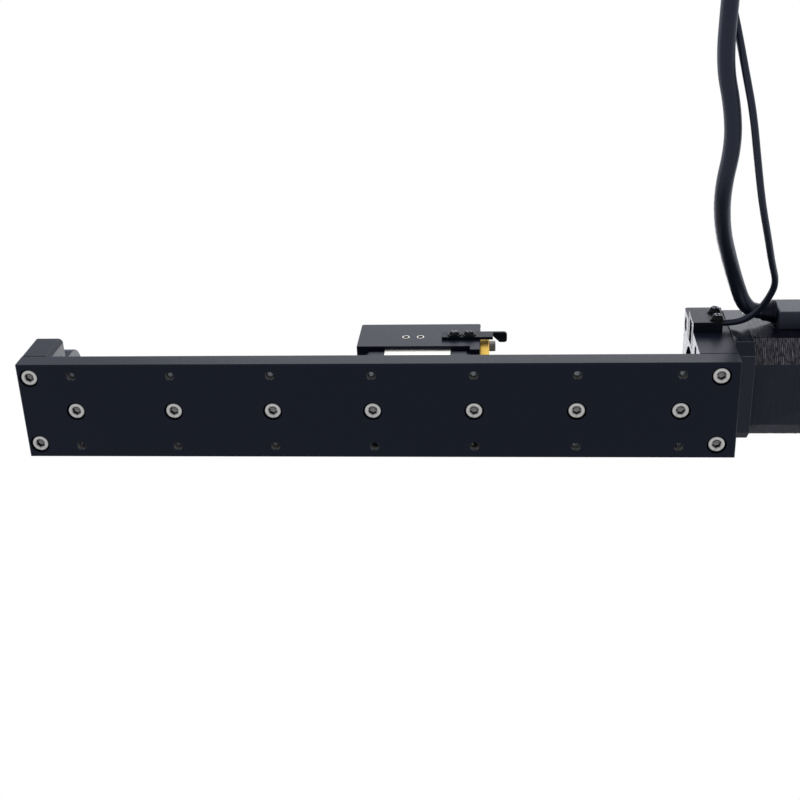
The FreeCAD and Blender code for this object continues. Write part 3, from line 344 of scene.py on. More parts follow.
FINISHES: dict[str, Finish] = {
    finish.name: finish
    for finish in (
        # The edge colours and wear shares below are partly real wear and partly painted highlights along edges.
        Finish("black_anodised", (0.0085, 0.0107, 0.0205), (0.0115, 0.0140, 0.0265), gloss=(0.28, 0.36),
               specular=0.13, grain=5200.0, relief=0.000004, edge=(0.05, 0.056, 0.078), wear_and_highlight=0.5, rounding=0.0003,
               tint=(0.74, 0.86, 1.0), mark=steel(0.80)),
        # The stainless mark colour is painted shade in the sockets and round the rims of socket heads.
        Finish("stainless_steel", steel(0.77), steel(0.65), 1.0, (0.26, 0.38), 0.5, 6000.0, 0.000006,
               rounding=0.0001, mark=steel(0.155)),
        # A darker copy of stainless steel for the screws under the plate: painted shade on the same steel.
        Finish("satin_stainless_steel", steel(0.495), steel(0.395), 1.0, (0.28, 0.42), 0.5, 6000.0,
               0.000006, rounding=0.0001, mark=steel(0.087)),
        Finish("dark_threads", steel(0.08), steel(0.045), 1.0, (0.34, 0.46), 0.5, 6000.0, 0.000006),
        Finish("rail_steel", steel(0.68), steel(0.62), 1.0, (0.24, 0.38), 0.5, 9000.0, 0.000006, Pattern.STREAK),
        Finish("bearing_steel", steel(0.70), steel(0.62), 1.0, (0.1, 0.2), 0.5, 5000.0, 0.000003),
        Finish("spring_steel", steel(0.12), steel(0.17), 1.0, (0.34, 0.48), 0.5, 4000.0, 0.00001),
        # One black plastic in two copies: the darker one paints the shade under the sensor, the lighter one paints
        # light on the box and guide caps.
        Finish("black_plastic", (0.0028, 0.0034, 0.0070), (0.0048, 0.0056, 0.0100), gloss=(0.34, 0.46), specular=0.19,
               grain=4200.0, relief=0.00002, tint=COOL),
        Finish("pale_black_plastic", (0.0210, 0.0220, 0.0350), (0.0280, 0.0290, 0.0440), gloss=(0.34, 0.46),
               specular=0.3, grain=4200.0, relief=0.00002, tint=COOL),
        Finish("black_steel", (0.0050, 0.0062, 0.0110), (0.0090, 0.0105, 0.0165), gloss=(0.28, 0.4), specular=0.1,
               grain=3600.0, relief=0.00001, edge=(0.07, 0.07, 0.075), wear_and_highlight=0.25, tint=COOL),
        # The light edges and the mark paint glints and highlights on the black pan heads; the mark is also bare metal
        # in the cross recess.
        Finish("glossy_black_steel", (0.0040, 0.0042, 0.0055), (0.0080, 0.0082, 0.0100), gloss=(0.09, 0.16),
               specular=0.09, grain=3600.0, relief=0.000004, edge=(0.31, 0.32, 0.36), wear_and_highlight=0.4,
               rounding=0.00008, mark=(0.47, 0.48, 0.53)),
        # The light edge colour and the mark on the caps' broken edges paint a bright highlight line, partly as bare
        # metal.
        Finish("motor_black", (0.0095, 0.0115, 0.0220), (0.0140, 0.0160, 0.0280), gloss=(0.16, 0.24), specular=0.24,
               grain=2600.0, relief=0.000006, edge=(0.3, 0.3, 0.31), wear_and_highlight=0.55, tint=COOL, mark=steel(0.62)),
        # The mark is bare metal on the front cut corners only, with lighter alternate sheets: partly real bare edges,
        # partly painted light.
        Finish("motor_laminations", (0.0050, 0.0052, 0.0120), (0.0140, 0.0142, 0.0260), gloss=(0.08, 0.14),
               specular=0.34, grain=5600.0, relief=0.000004, pattern=Pattern.WOUND, rounding=0.0001, tint=COOL,
               mark=(0.33, 0.30, 0.30), mark_vary=SHEET_TONE_AND_LIGHT),
        Finish("copper_wire", (0.55, 0.2, 0.07), (0.42, 0.15, 0.05), 1.0, (0.26, 0.4), 0.5, 2400.0, 0.00006,
               Pattern.WOUND),
        Finish("black_rubber", (0.0045, 0.0055, 0.0100), (0.0075, 0.0085, 0.0135), gloss=(0.3, 0.42), specular=0.13,
               grain=3200.0, relief=0.00003, tint=COOL),
        Finish("lead_jacket", (0.0080, 0.0100, 0.0200), (0.0110, 0.0135, 0.0255), gloss=(0.3, 0.42), specular=0.34,
               grain=2600.0, relief=0.00002, tint=COOL),
        Finish("tie_plastic", (0.0120, 0.0125, 0.0150), (0.0170, 0.0175, 0.0200), gloss=(0.4, 0.55), specular=0.3,
               grain=3000.0),
        Finish("plug_plastic", (0.0120, 0.0125, 0.0155), (0.0170, 0.0175, 0.0210), gloss=(0.42, 0.56), specular=0.3,
               grain=3400.0),
        Finish("nut_brass", (1.0, 0.70, 0.165), (0.92, 0.62, 0.14), 1.0, (0.54, 0.64), 0.5, 5200.0, 0.00001),
        Finish("screw_steel", steel(0.50), steel(0.42), 1.0, (0.2, 0.34), 0.5, 5200.0, 0.000008),
        Finish("rotor_steel", steel(0.30), steel(0.24), 1.0, (0.32, 0.46), 0.5, 4200.0, 0.00001,
               Pattern.STREAK),
    )
}


def add_object(name: str, data: bpy.types.ID) -> bpy.types.Object:
    """Adds an object with the given data to the scene.

    Args:
        name: the object's name.
        data: its mesh, curve, lamp or camera.

    Returns:
        The new object.
    """
    made = bpy.data.objects.new(name, data)
    bpy.context.scene.collection.objects.link(made)
    return made


def mesh_object(name: str, shape: bmesh.types.BMesh, smooth_degrees: float = 30.0) -> bpy.types.Object:
    """Turns a working mesh into an object at the origin.

    Args:
        name: the object's name.
        shape: the working mesh, in metres. It is freed.
        smooth_degrees: edges sharper than this stay sharp.

    Returns:
        The new object.
    """
    mesh = bpy.data.meshes.new(name)
    bmesh.ops.recalc_face_normals(shape, faces=shape.faces)
    shape.to_mesh(mesh)
    shape.free()
    mesh.shade_smooth()
    mesh.set_sharp_from_angle(angle=math.radians(smooth_degrees))
    return add_object(name, mesh)


def settle(piece: bpy.types.Object) -> bpy.types.Mesh:
    """Leaves an object with the plain mesh that its modifiers make.

    Args:
        piece: the object.

    Returns:
        Its new mesh.
    """
    bpy.context.view_layer.update()
    depsgraph = bpy.context.evaluated_depsgraph_get()
    mesh = bpy.data.meshes.new_from_object(piece.evaluated_get(depsgraph), depsgraph=depsgraph)
    piece.modifiers.clear()
    spent = piece.data
    piece.data = mesh
    mesh.name = piece.name
    bpy.data.meshes.remove(spent)
    return mesh


def mark_faces(mesh: bpy.types.Mesh, strength: Callable[[bpy.types.MeshPolygon], float]) -> None:
    """Marks faces of a mesh, for a finish that differs there; on screws and motor parts the marks also carry painted
    shade and highlights.

    Args:
        mesh: the mesh.
        strength: how far a face is marked, from 0 to 1.
    """
    layer = mesh.attributes.new(MARK, "FLOAT", "FACE")
    for face in mesh.polygons:
        layer.data[face.index].value = float(strength(face))


def face_of(node: str, axis: int, high: bool = False) -> float:
    """The lowest or highest place of a CAD node along an axis, in millimetres."""
    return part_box(node)[int(high)][axis] / MM


def loft(shape: bmesh.types.BMesh, rings: Sequence[Sequence[Vector]], closed: bool = False) -> None:
    """Joins rings of equally many points with faces.

    Args:
        shape: the working mesh that takes the faces.
        rings: the rings in order.
        closed: whether the last ring joins the first one, instead of a cap on each.
    """
    rows = [[shape.verts.new(point) for point in ring] for ring in rings]
    for low, high in zip(rows, [*rows[1:], rows[0]] if closed else rows[1:]):
        for i in range(len(low)):
            j = (i + 1) % len(low)
            shape.faces.new((low[i], low[j], high[j], high[i]))
    if not closed:
        shape.faces.new(rows[0])
        shape.faces.new(rows[-1])


def turned(profile: Sequence[tuple[float, float]], axis: int, middle: Point, segments: int) -> list[list[Vector]]:
    """The rings of a turned shape.

    Args:
        profile: place along the axis and radius at each corner of its section, in millimetres.
        axis: the axis, 0 to 2.
        middle: a point on the axis, from which the places count.
        segments: points in each ring.

    Returns:
        The rings in metres.
    """
    across = [k for k in range(3) if k != axis]
    rings = []
    for along, radius in profile:
        ring = []
        for i in range(segments):
            angle = 2 * math.pi * i / segments
            point = list(middle)
            point[axis] += along
            point[across[0]] += radius * math.cos(angle)
            point[across[1]] += radius * math.sin(angle)
            ring.append(Vector(point) * MM)
        rings.append(ring)
    return rings


def box_shape(shape: bmesh.types.BMesh, low: Point, high: Point, bevel: float = 0.0) -> None:
    """Adds a block with softened edges, in millimetres.

    Args:
        shape: the working mesh that takes the block.
        low: its lowest corner.
        high: its highest corner.
        bevel: width of its softened edges.
    """
    part = bmesh.new()
    bmesh.ops.create_cube(part, size=1.0)
    for vert in part.verts:
        for k in range(3):
            vert.co[k] = MM * (low[k] if vert.co[k] < 0 else high[k])
    if bevel > 0:
        bmesh.ops.bevel(part, geom=list(part.edges), offset=bevel * MM, segments=2, profile=0.5, affect="EDGES")
    spare = bpy.data.meshes.new("spare")
    part.to_mesh(spare)
    part.free()
    shape.from_mesh(spare)
    bpy.data.meshes.remove(spare)


def dress(piece: bpy.types.Object, slot: str, body: Body, *nodes: str, finish: str = "") -> bpy.types.Object:
    """Gives a finished piece its finish, body and the nodes that it stands for.

    Args:
        piece: the finished piece.
        slot: the record's material slot.
        body: the body that it moves with.
        nodes: the CAD nodes that it replaces.
        finish: a variant of the slot's finish.

    Returns:
        The same piece.
    """
    piece.data.materials.clear()
    piece.data.materials.append(FINISHES[finish or slot].material())
    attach(piece, body.value)
    if nodes:
        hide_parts(*nodes)
    LOG.info("%s on %s, %s", piece.name, body.value, slot)
    return piece


class NodeRecipe(NodeBuilder):
    """A geometry node tree under construction, with named inputs."""

    def __init__(self, name: str) -> None:
        """Starts an empty tree that takes and gives geometry.

        Args:
            name: the tree's name.
        """
        super().__init__(bpy.data.node_groups.new(name, "GeometryNodeTree"))
        for side in ("INPUT", "OUTPUT"):
            self.tree.interface.new_socket("Geometry", in_out=side, socket_type="NodeSocketGeometry")
        self.entry = self.node("NodeGroupInput")
        self.exit = self.node("NodeGroupOutput")
        self.keys: dict[str, str] = {}

    def socket(self, name: str, kind: str) -> bpy.types.NodeSocket:
        """Adds a named input to the tree.

        Args:
            name: the input's name.
            kind: Float, Int, Vector, Object or Material.

        Returns:
            The input's socket inside the tree.
        """
        made = self.tree.interface.new_socket(name, in_out="INPUT", socket_type=f"NodeSocket{kind}")
        self.keys[name] = made.identifier
        return self.entry.outputs[name]

    def close(self, geometry: bpy.types.NodeSocket) -> None:
        """Ends the tree with real, smoothly shaded geometry in the given material.

        Args:
            geometry: the finished geometry or its instances.
        """
        real = self.node("GeometryNodeRealizeInstances", {"Geometry": geometry}).outputs[0]
        real = self.node("GeometryNodeSetShadeSmooth", {"Geometry": real}).outputs[0]
        dressed = self.node("GeometryNodeSetMaterial", {
            "Geometry": real, "Material": self.socket("Material", "Material")})
        self.feed(self.exit, {0: dressed.outputs[0]})

    def bake(self, piece: bpy.types.Object, values: dict[str, object], smooth_degrees: float) -> None:
        """Runs the tree on an object and leaves a plain mesh.

        Args:
            piece: the object whose mesh feeds the tree.
            values: the inputs by name.
            smooth_degrees: edges sharper than this stay sharp.
        """
        modifier = piece.modifiers.new("recipe", "NODES")
        modifier.node_group = self.tree
        for name, value in values.items():
            modifier[self.keys[name]] = value
        piece.update_tag()
        settle(piece).set_sharp_from_angle(angle=math.radians(smooth_degrees))


def seat_copies(name: str, template: bpy.types.Object, seats: list[Point], facing: Point, twist: float,
                finish: Finish) -> bpy.types.Object:
    """Sets a copy of a template on each seat, turned at random about its own axis.

    Args:
        name: the piece's name.
        template: the object to copy, with its axis along +Z. It is removed.
        seats: the places of the copies, in millimetres.
        facing: the direction that +Z takes.
        twist: the largest turn about that axis.
        finish: the finish of the copies.

    Returns:
        One plain piece.
    """
    recipe = NodeRecipe(f"{name}_tree")
    copy = recipe.node("GeometryNodeObjectInfo", {"Object": recipe.socket("Template", "Object")})
    aim = recipe.node("FunctionNodeAlignRotationToVector", {"Vector": recipe.socket("Facing", "Vector")}, axis="Z")
    turn = recipe.node("FunctionNodeRandomValue", {
        3: recipe.socket("Twist", "Float"), "Seed": recipe.socket("Seed", "Int")}, data_type="FLOAT")
    spin = recipe.node("FunctionNodeAxisAngleToRotation", {"Axis": (0.0, 0.0, 1.0), "Angle": turn.outputs[1]})
    pose = recipe.node("FunctionNodeRotateRotation", {"Rotation": aim.outputs[0], "Rotate By": spin.outputs[0]},
                       rotation_space="LOCAL")
    placed = recipe.node("GeometryNodeInstanceOnPoints", {
        "Points": recipe.entry.outputs[0], "Instance": copy.outputs["Geometry"], "Rotation": pose.outputs[0]})
    recipe.close(placed.outputs[0])
    shape = bmesh.new()
    for seat in seats:
        shape.verts.new(Vector(seat) * MM)
    piece = mesh_object(name, shape)
    recipe.bake(piece, {"Template": template, "Facing": facing, "Twist": twist, "Seed": TWIST_SEED,
                        "Material": finish.material()}, COPY_SMOOTH)
    bpy.data.objects.remove(template)
    return piece


@dataclass(frozen=True)
class ScrewKind:
    """The shape of one kind of screw, with its drive face at the origin and its shank along +Z.

    Attributes:
        head: head diameter in millimetres.
        head_height: head height.
        shank: thread diameter.
        key: width across the flats of the socket, or across the cross.
        drive: the recess in the head.
    """

    head: float
    head_height: float
    shank: float
    key: float
    drive: Drive = Drive.HEX

    SEGMENTS: ClassVar[int] = 48
    FILLET: ClassVar[tuple[float, float]] = (0.15, 0.3)
    TIP: ClassVar[float] = 0.5
    SOCKET_DEPTH: ClassVar[float] = 0.55
    SOCKET_CONE: ClassVar[float] = 0.12
    SOCKET_FLOOR: ClassVar[float] = 0.96
    SOCKET_CORNER: ClassVar[float] = 0.05
    SOCKET_FLARE: ClassVar[tuple[float, float]] = (0.09, 0.1)
    RIM: ClassVar[float] = 0.05
    RIM_ROLL: ClassVar[list[tuple[float, float]]] = [(1.0, 0.0), (0.35, 0.4), (0.0, 1.3)]
    SOCKET_UNDERCUT: ClassVar[float] = 0.12
    CROSS_DEPTH: ClassVar[float] = 0.62
    CROSS_ARM: ClassVar[float] = 0.14
    CROSS_SIDES: ClassVar[list[tuple[float, float]]] = [(0.35, 1.0), (0.82, 0.7)]
    CROSS_MOUTH: ClassVar[float] = 0.05
    CROSS_RIM: ClassVar[tuple[float, float]] = (0.55, 0.07)
    DOME: ClassVar[list[tuple[float, float]]] = [(0.76, 0.3), (0.91, 0.56), (1.0, 0.86)]
    PAN_UNDERCUT: ClassVar[float] = 0.08
    FACE_DEPTH: ClassVar[float] = 0.02
    MOUTH_DEPTH: ClassVar[float] = 0.06
    # Shares of painted shade in a socket's floor and mouth.
    FLOOR_SHADE: ClassVar[float] = 0.8
    MOUTH_SHADE: ClassVar[float] = 0.6
    # Share of bare metal in a cross recess, which also paints a bright glint.
    CROSS_GLINT_AND_WEAR: ClassVar[float] = 0.42

    def circle(self, radius: float, z: float) -> list[Vector]:
        """A round ring of points, in millimetres, as a list in metres."""
        return self.ring(lambda angle: radius, z)

    def ring(self, radius: Callable[[float], float], z: float, share: float = 1.0) -> list[Vector]:
        """A ring whose radius depends on the angle.

        Args:
            radius: gives the radius in millimetres at an angle.
            z: the ring's height in millimetres.
            share: the share of that radius.

        Returns:
            The ring's points in metres.
        """
        found = []
        for i in range(self.SEGMENTS):
            angle = 2 * math.pi * i / self.SEGMENTS
            reach = radius(angle) * share * MM
            found.append(Vector((reach * math.cos(angle), reach * math.sin(angle), z * MM)))
        return found

    def hexagon(self, angle: float) -> float:
        """The radius of the hexagon socket at an angle."""
        sector = math.pi / 3
        return self.key / 2 / math.cos((angle % sector) - sector / 2)

    def cross(self, angle: float) -> float:
        """The radius of the cross recess at an angle.

        Args:
            angle: the angle about the screw's axis.

        Returns:
            The radius in millimetres.
        """
        quarter = math.pi / 2
        turn = abs(((angle + quarter / 2) % quarter) - quarter / 2)
        half_width = self.key * self.CROSS_ARM
        return min(self.key / 2 / max(math.cos(turn), 0.2), half_width / max(math.sin(turn), 1e-3))

    def thread_rings(self, length: float) -> list[list[Vector]]:
        """The shank's rings under the head, with a chamfered tip.

        Args:
            length: length under the head.

        Returns:
            The rings from the head to the tip.
        """
        under = self.head_height
        end = under + length
        root = self.shank / 2
        wider, deep = self.FILLET
        return [
            self.circle(root + wider, under),
            self.circle(root, under + deep),
            self.circle(root, end - self.TIP),
            self.circle(root - self.TIP, end),
        ]

    def socket_rings(self) -> list[list[Vector]]:
        """The rings of a socket head, from the socket's floor outwards.

        Returns:
            The rings from the floor to the head's underside.
        """
        depth = self.head_height * self.SOCKET_DEPTH
        cone = self.key * self.SOCKET_CONE
        corner = self.key / 2 / math.cos(math.pi / 6)
        wider, deep = self.SOCKET_FLARE
        rim = self.head / 2
        soft = self.head * self.RIM
        return [
            self.circle(cone, depth + cone),
            self.ring(self.hexagon, depth, self.SOCKET_FLOOR),
            self.ring(self.hexagon, depth - self.SOCKET_CORNER),
            self.ring(self.hexagon, deep * self.key),
            self.circle(corner + wider * self.key, 0.0),
            *(self.circle(rim - soft * inwards, soft * down) for inwards, down in self.RIM_ROLL),
            self.circle(rim, self.head_height - self.SOCKET_UNDERCUT),
            self.circle(rim - self.SOCKET_UNDERCUT, self.head_height),
        ]

    def pan_rings(self) -> list[list[Vector]]:
        """The rings of a domed head with a cross recess, from the recess's floor outwards.

        Returns:
            The rings from the floor to the head's underside.
        """
        depth = self.head_height * self.CROSS_DEPTH
        rim = self.head / 2
        dome = self.head_height
        wider, deep = self.CROSS_RIM
        return [
            *(self.ring(self.cross, depth * down, share) for share, down in self.CROSS_SIDES),
            self.ring(self.cross, dome * self.CROSS_MOUTH),
            self.circle(self.key * wider, dome * deep),
            *(self.circle(rim * out, dome * down) for out, down in self.DOME),
            self.circle(rim, dome - self.PAN_UNDERCUT),
            self.circle(rim - self.PAN_UNDERCUT, dome),
        ]

    def template(self, name: str, length: float) -> bpy.types.Object:
        """Makes one screw to copy.

        Args:
            name: the object's name.
            length: length under the head.

        Returns:
            The screw, with its faces marked.
        """
        shape = bmesh.new()
        heads = {Drive.HEX: self.socket_rings, Drive.CROSS: self.pan_rings}
        loft(shape, [*heads[self.drive](), *self.thread_rings(length)])
        screw = mesh_object(name, shape, COPY_SMOOTH)
        mark_faces(screw.data, self.shade_and_glint)
        return screw

    def shade_and_glint(self, face: bpy.types.MeshPolygon) -> float:
        """How far a face of the screw shows its finish's second colour.

        Args:
            face: a face of the screw.

        Returns:
            For a socket head, the share of painted shade in its socket and round its rim, where shade falls, and for a
            black head, the share of bare metal in its recess, which also paints a glint there.
        """
        depth = face.center.z / MM
        inside = math.hypot(face.center.x, face.center.y) / MM < self.key / 2
        # A cross recess gets bare metal that also paints a glint, and a socket and the head's sides get painted shade.
        if self.drive is Drive.CROSS:
            return self.CROSS_GLINT_AND_WEAR if inside and depth < self.head_height else 0.0
        if depth < self.FACE_DEPTH:
            return 0.0
        if inside and depth > self.head_height / 2:
            return self.FLOOR_SHADE
        return self.MOUTH_SHADE if depth < self.MOUTH_DEPTH * self.key else 1.0


@dataclass
class Fasteners:
    """A group of like screws, each on its own seat.

    Attributes:
        name: the piece's name.
        node: the CAD node that they stand for.
        body: the body that carries them.
        slot: the material slot.
        kind: the kind of screw.
        length: length under the head.
        facing: the direction in which they are driven.
        seats: the middle of each drive face, in millimetres.
        finish: a variant of the slot's finish.
    """

    name: str
    node: str
    body: Body
    slot: str
    kind: ScrewKind
    length: float
    facing: Point
    seats: list[Point]
    finish: str = ""

    def build(self) -> bpy.types.Object:
        """Makes the screws as one piece.

        Returns:
            The dressed piece.
        """
        template = self.kind.template(f"{self.name}_template", self.length)
        piece = seat_copies(self.name, template, self.seats, self.facing, 2 * math.pi,
                            FINISHES[self.finish or self.slot])
        return dress(piece, self.slot, self.body, self.node, finish=self.finish)


@dataclass
class HoleRings:
    """Like turned rings, each in the mouth of an open hole.

    Attributes:
        name: the piece's name.
        slot: the material slot.
        finish: the finish that shows.
        body: the body that carries them.
        facing: the direction into the holes.
        seats: the middle of each hole's mouth, in millimetres.
        profile: depth in the hole and radius at each corner of a ring's section.
    """

    name: str
    slot: str
    finish: str
    body: Body
    facing: Point
    seats: list[Point]
    profile: list[tuple[float, float]]

    SEGMENTS: ClassVar[int] = 32

    def build(self) -> bpy.types.Object:
        """Makes the rings as one piece.

        Returns:
            The dressed piece.
        """
        shape = bmesh.new()
        loft(shape, turned(self.profile, 2, (0.0, 0.0, 0.0), self.SEGMENTS), closed=True)
        template = mesh_object(f"{self.name}_template", shape)
        piece = seat_copies(self.name, template, self.seats, self.facing, 0.0, FINISHES[self.finish])
        return dress(piece, self.slot, self.body, finish=self.finish)


@dataclass
class ThreadedScrew:
    """The lead screw: turned journals with a two-start trapezoidal thread between them.

    Attributes:
        start: where the thread begins along the rail.
        end: where it ends.
        lead: travel for each turn.
        starts: number of thread starts.
        major: outer diameter.
        minor: root diameter.
        rows: rows of points for each ridge.
        around: points round the bar.
    """

    start: float = -128.0
    end: float = 126.0
    lead: float = 4.0
    starts: int = 2
    major: float = 10.0
    minor: float = 8.0
    rows: int = 8
    around: int = 36

    PROFILE: ClassVar[list[tuple[float, float]]] = [
        (-141.2, 3.4), (-140.8, 4.0), (-140.5, 4.0), (-140.5, 3.5), (-139.5, 3.5), (-139.5, 4.0), (-134.5, 4.0),
        (-134.5, 4.7), (-134.2, 5.0), (-129.0, 5.0), (-128.0, 4.0), (-127.9, 3.9), (125.9, 3.9), (126.0, 4.0),
        (127.0, 5.0), (143.3, 5.0), (143.6, 4.7), (143.6, 4.0), (179.5, 4.0), (180.0, 3.5)]
    FLANK: ClassVar[tuple[float, float]] = (0.66, 0.34)
    SMOOTH: ClassVar[float] = 25.0

    def journals(self) -> bmesh.types.BMesh:
        """The plain turned bar under and beside the thread.

        Returns:
            The bar as a working mesh.
        """
        shape = bmesh.new()
        loft(shape, turned(self.PROFILE, 0, (0.0, 0.0, AXIS_Z), self.around))
        return shape

    def recipe(self) -> NodeRecipe:
        """The tree that winds the thread: rows of a grid follow the helix, so each crest stays sharp.

        Returns:
            The tree, ready to bake.
        """
        recipe = NodeRecipe("lead_screw_tree")
        start = recipe.socket("Start", "Float")
        end = recipe.socket("End", "Float")
        lead = recipe.socket("Lead", "Float")
        starts = recipe.socket("Starts", "Float")
        major = recipe.socket("Outer radius", "Float")
        minor = recipe.socket("Root radius", "Float")
        height = recipe.socket("Axis height", "Float")
        grid = recipe.node("GeometryNodeMeshGrid", {
            "Size X": 1.0, "Size Y": 1.0, "Vertices X": recipe.socket("Rows", "Int"),
            "Vertices Y": recipe.socket("Points around", "Int")})
        place = recipe.node("ShaderNodeSeparateXYZ", {0: recipe.node("GeometryNodeInputPosition").outputs[0]})
        along = recipe.maths("ADD", place.outputs[0], 0.5)
        turn = recipe.maths("ADD", place.outputs[1], 0.5)
        run = recipe.maths("ADD", recipe.maths("SUBTRACT", end, start), lead)
        travel = recipe.maths("MULTIPLY", run, along)
        helix = recipe.maths("SUBTRACT", travel, recipe.maths("MULTIPLY", lead, turn))
        x = recipe.maths("MINIMUM", recipe.maths("MAXIMUM", recipe.maths("ADD", helix, start), start), end)
        ridge = recipe.maths("FRACT", recipe.maths("DIVIDE", recipe.maths("MULTIPLY", travel, starts), lead))
        aside = recipe.maths("MULTIPLY", recipe.maths("ABSOLUTE", recipe.maths("SUBTRACT", ridge, 0.5)), 2.0)
        flank = recipe.spread(aside, self.FLANK)
        radius = recipe.maths("MULTIPLY_ADD", flank, recipe.maths("SUBTRACT", major, minor), minor)
        angle = recipe.maths("MULTIPLY", turn, -2 * math.pi)
        y = recipe.maths("MULTIPLY", radius, recipe.maths("COSINE", angle))
        z = recipe.maths("MULTIPLY_ADD", radius, recipe.maths("SINE", angle), height)
        point = recipe.node("ShaderNodeCombineXYZ", {0: x, 1: y, 2: z})
        wound = recipe.node("GeometryNodeSetPosition", {"Geometry": grid.outputs[0], "Position": point.outputs[0]})
        closed = recipe.node("GeometryNodeMergeByDistance", {"Geometry": wound.outputs[0], "Distance": WELD})
        both = recipe.node("GeometryNodeJoinGeometry", {"Geometry": closed.outputs[0]})
        recipe.feed(both, {0: recipe.entry.outputs[0]})
        recipe.close(both.outputs[0])
        return recipe

    def build(self) -> bpy.types.Object:
        """Makes the screw as one piece.

        Returns:
            The dressed piece.
        """
        piece = mesh_object("lead_screw_bar", self.journals(), self.SMOOTH)
        ridges = round((self.end - self.start) / self.lead * self.starts) + self.starts
        self.recipe().bake(piece, {
            "Start": self.start * MM, "End": self.end * MM, "Lead": self.lead * MM, "Starts": float(self.starts),
            "Outer radius": self.major / 2 * MM, "Root radius": self.minor / 2 * MM, "Axis height": AXIS_Z * MM,
            "Rows": ridges * self.rows + 1, "Points around": self.around + 1,
            "Material": FINISHES["screw_steel"].material()}, self.SMOOTH)
        working = bmesh.new()
        working.from_mesh(piece.data)
        bmesh.ops.recalc_face_normals(working, faces=working.faces)
        working.to_mesh(piece.data)
        working.free()
        return dress(piece, "screw_steel", Body.SCREW, "lead_screw")


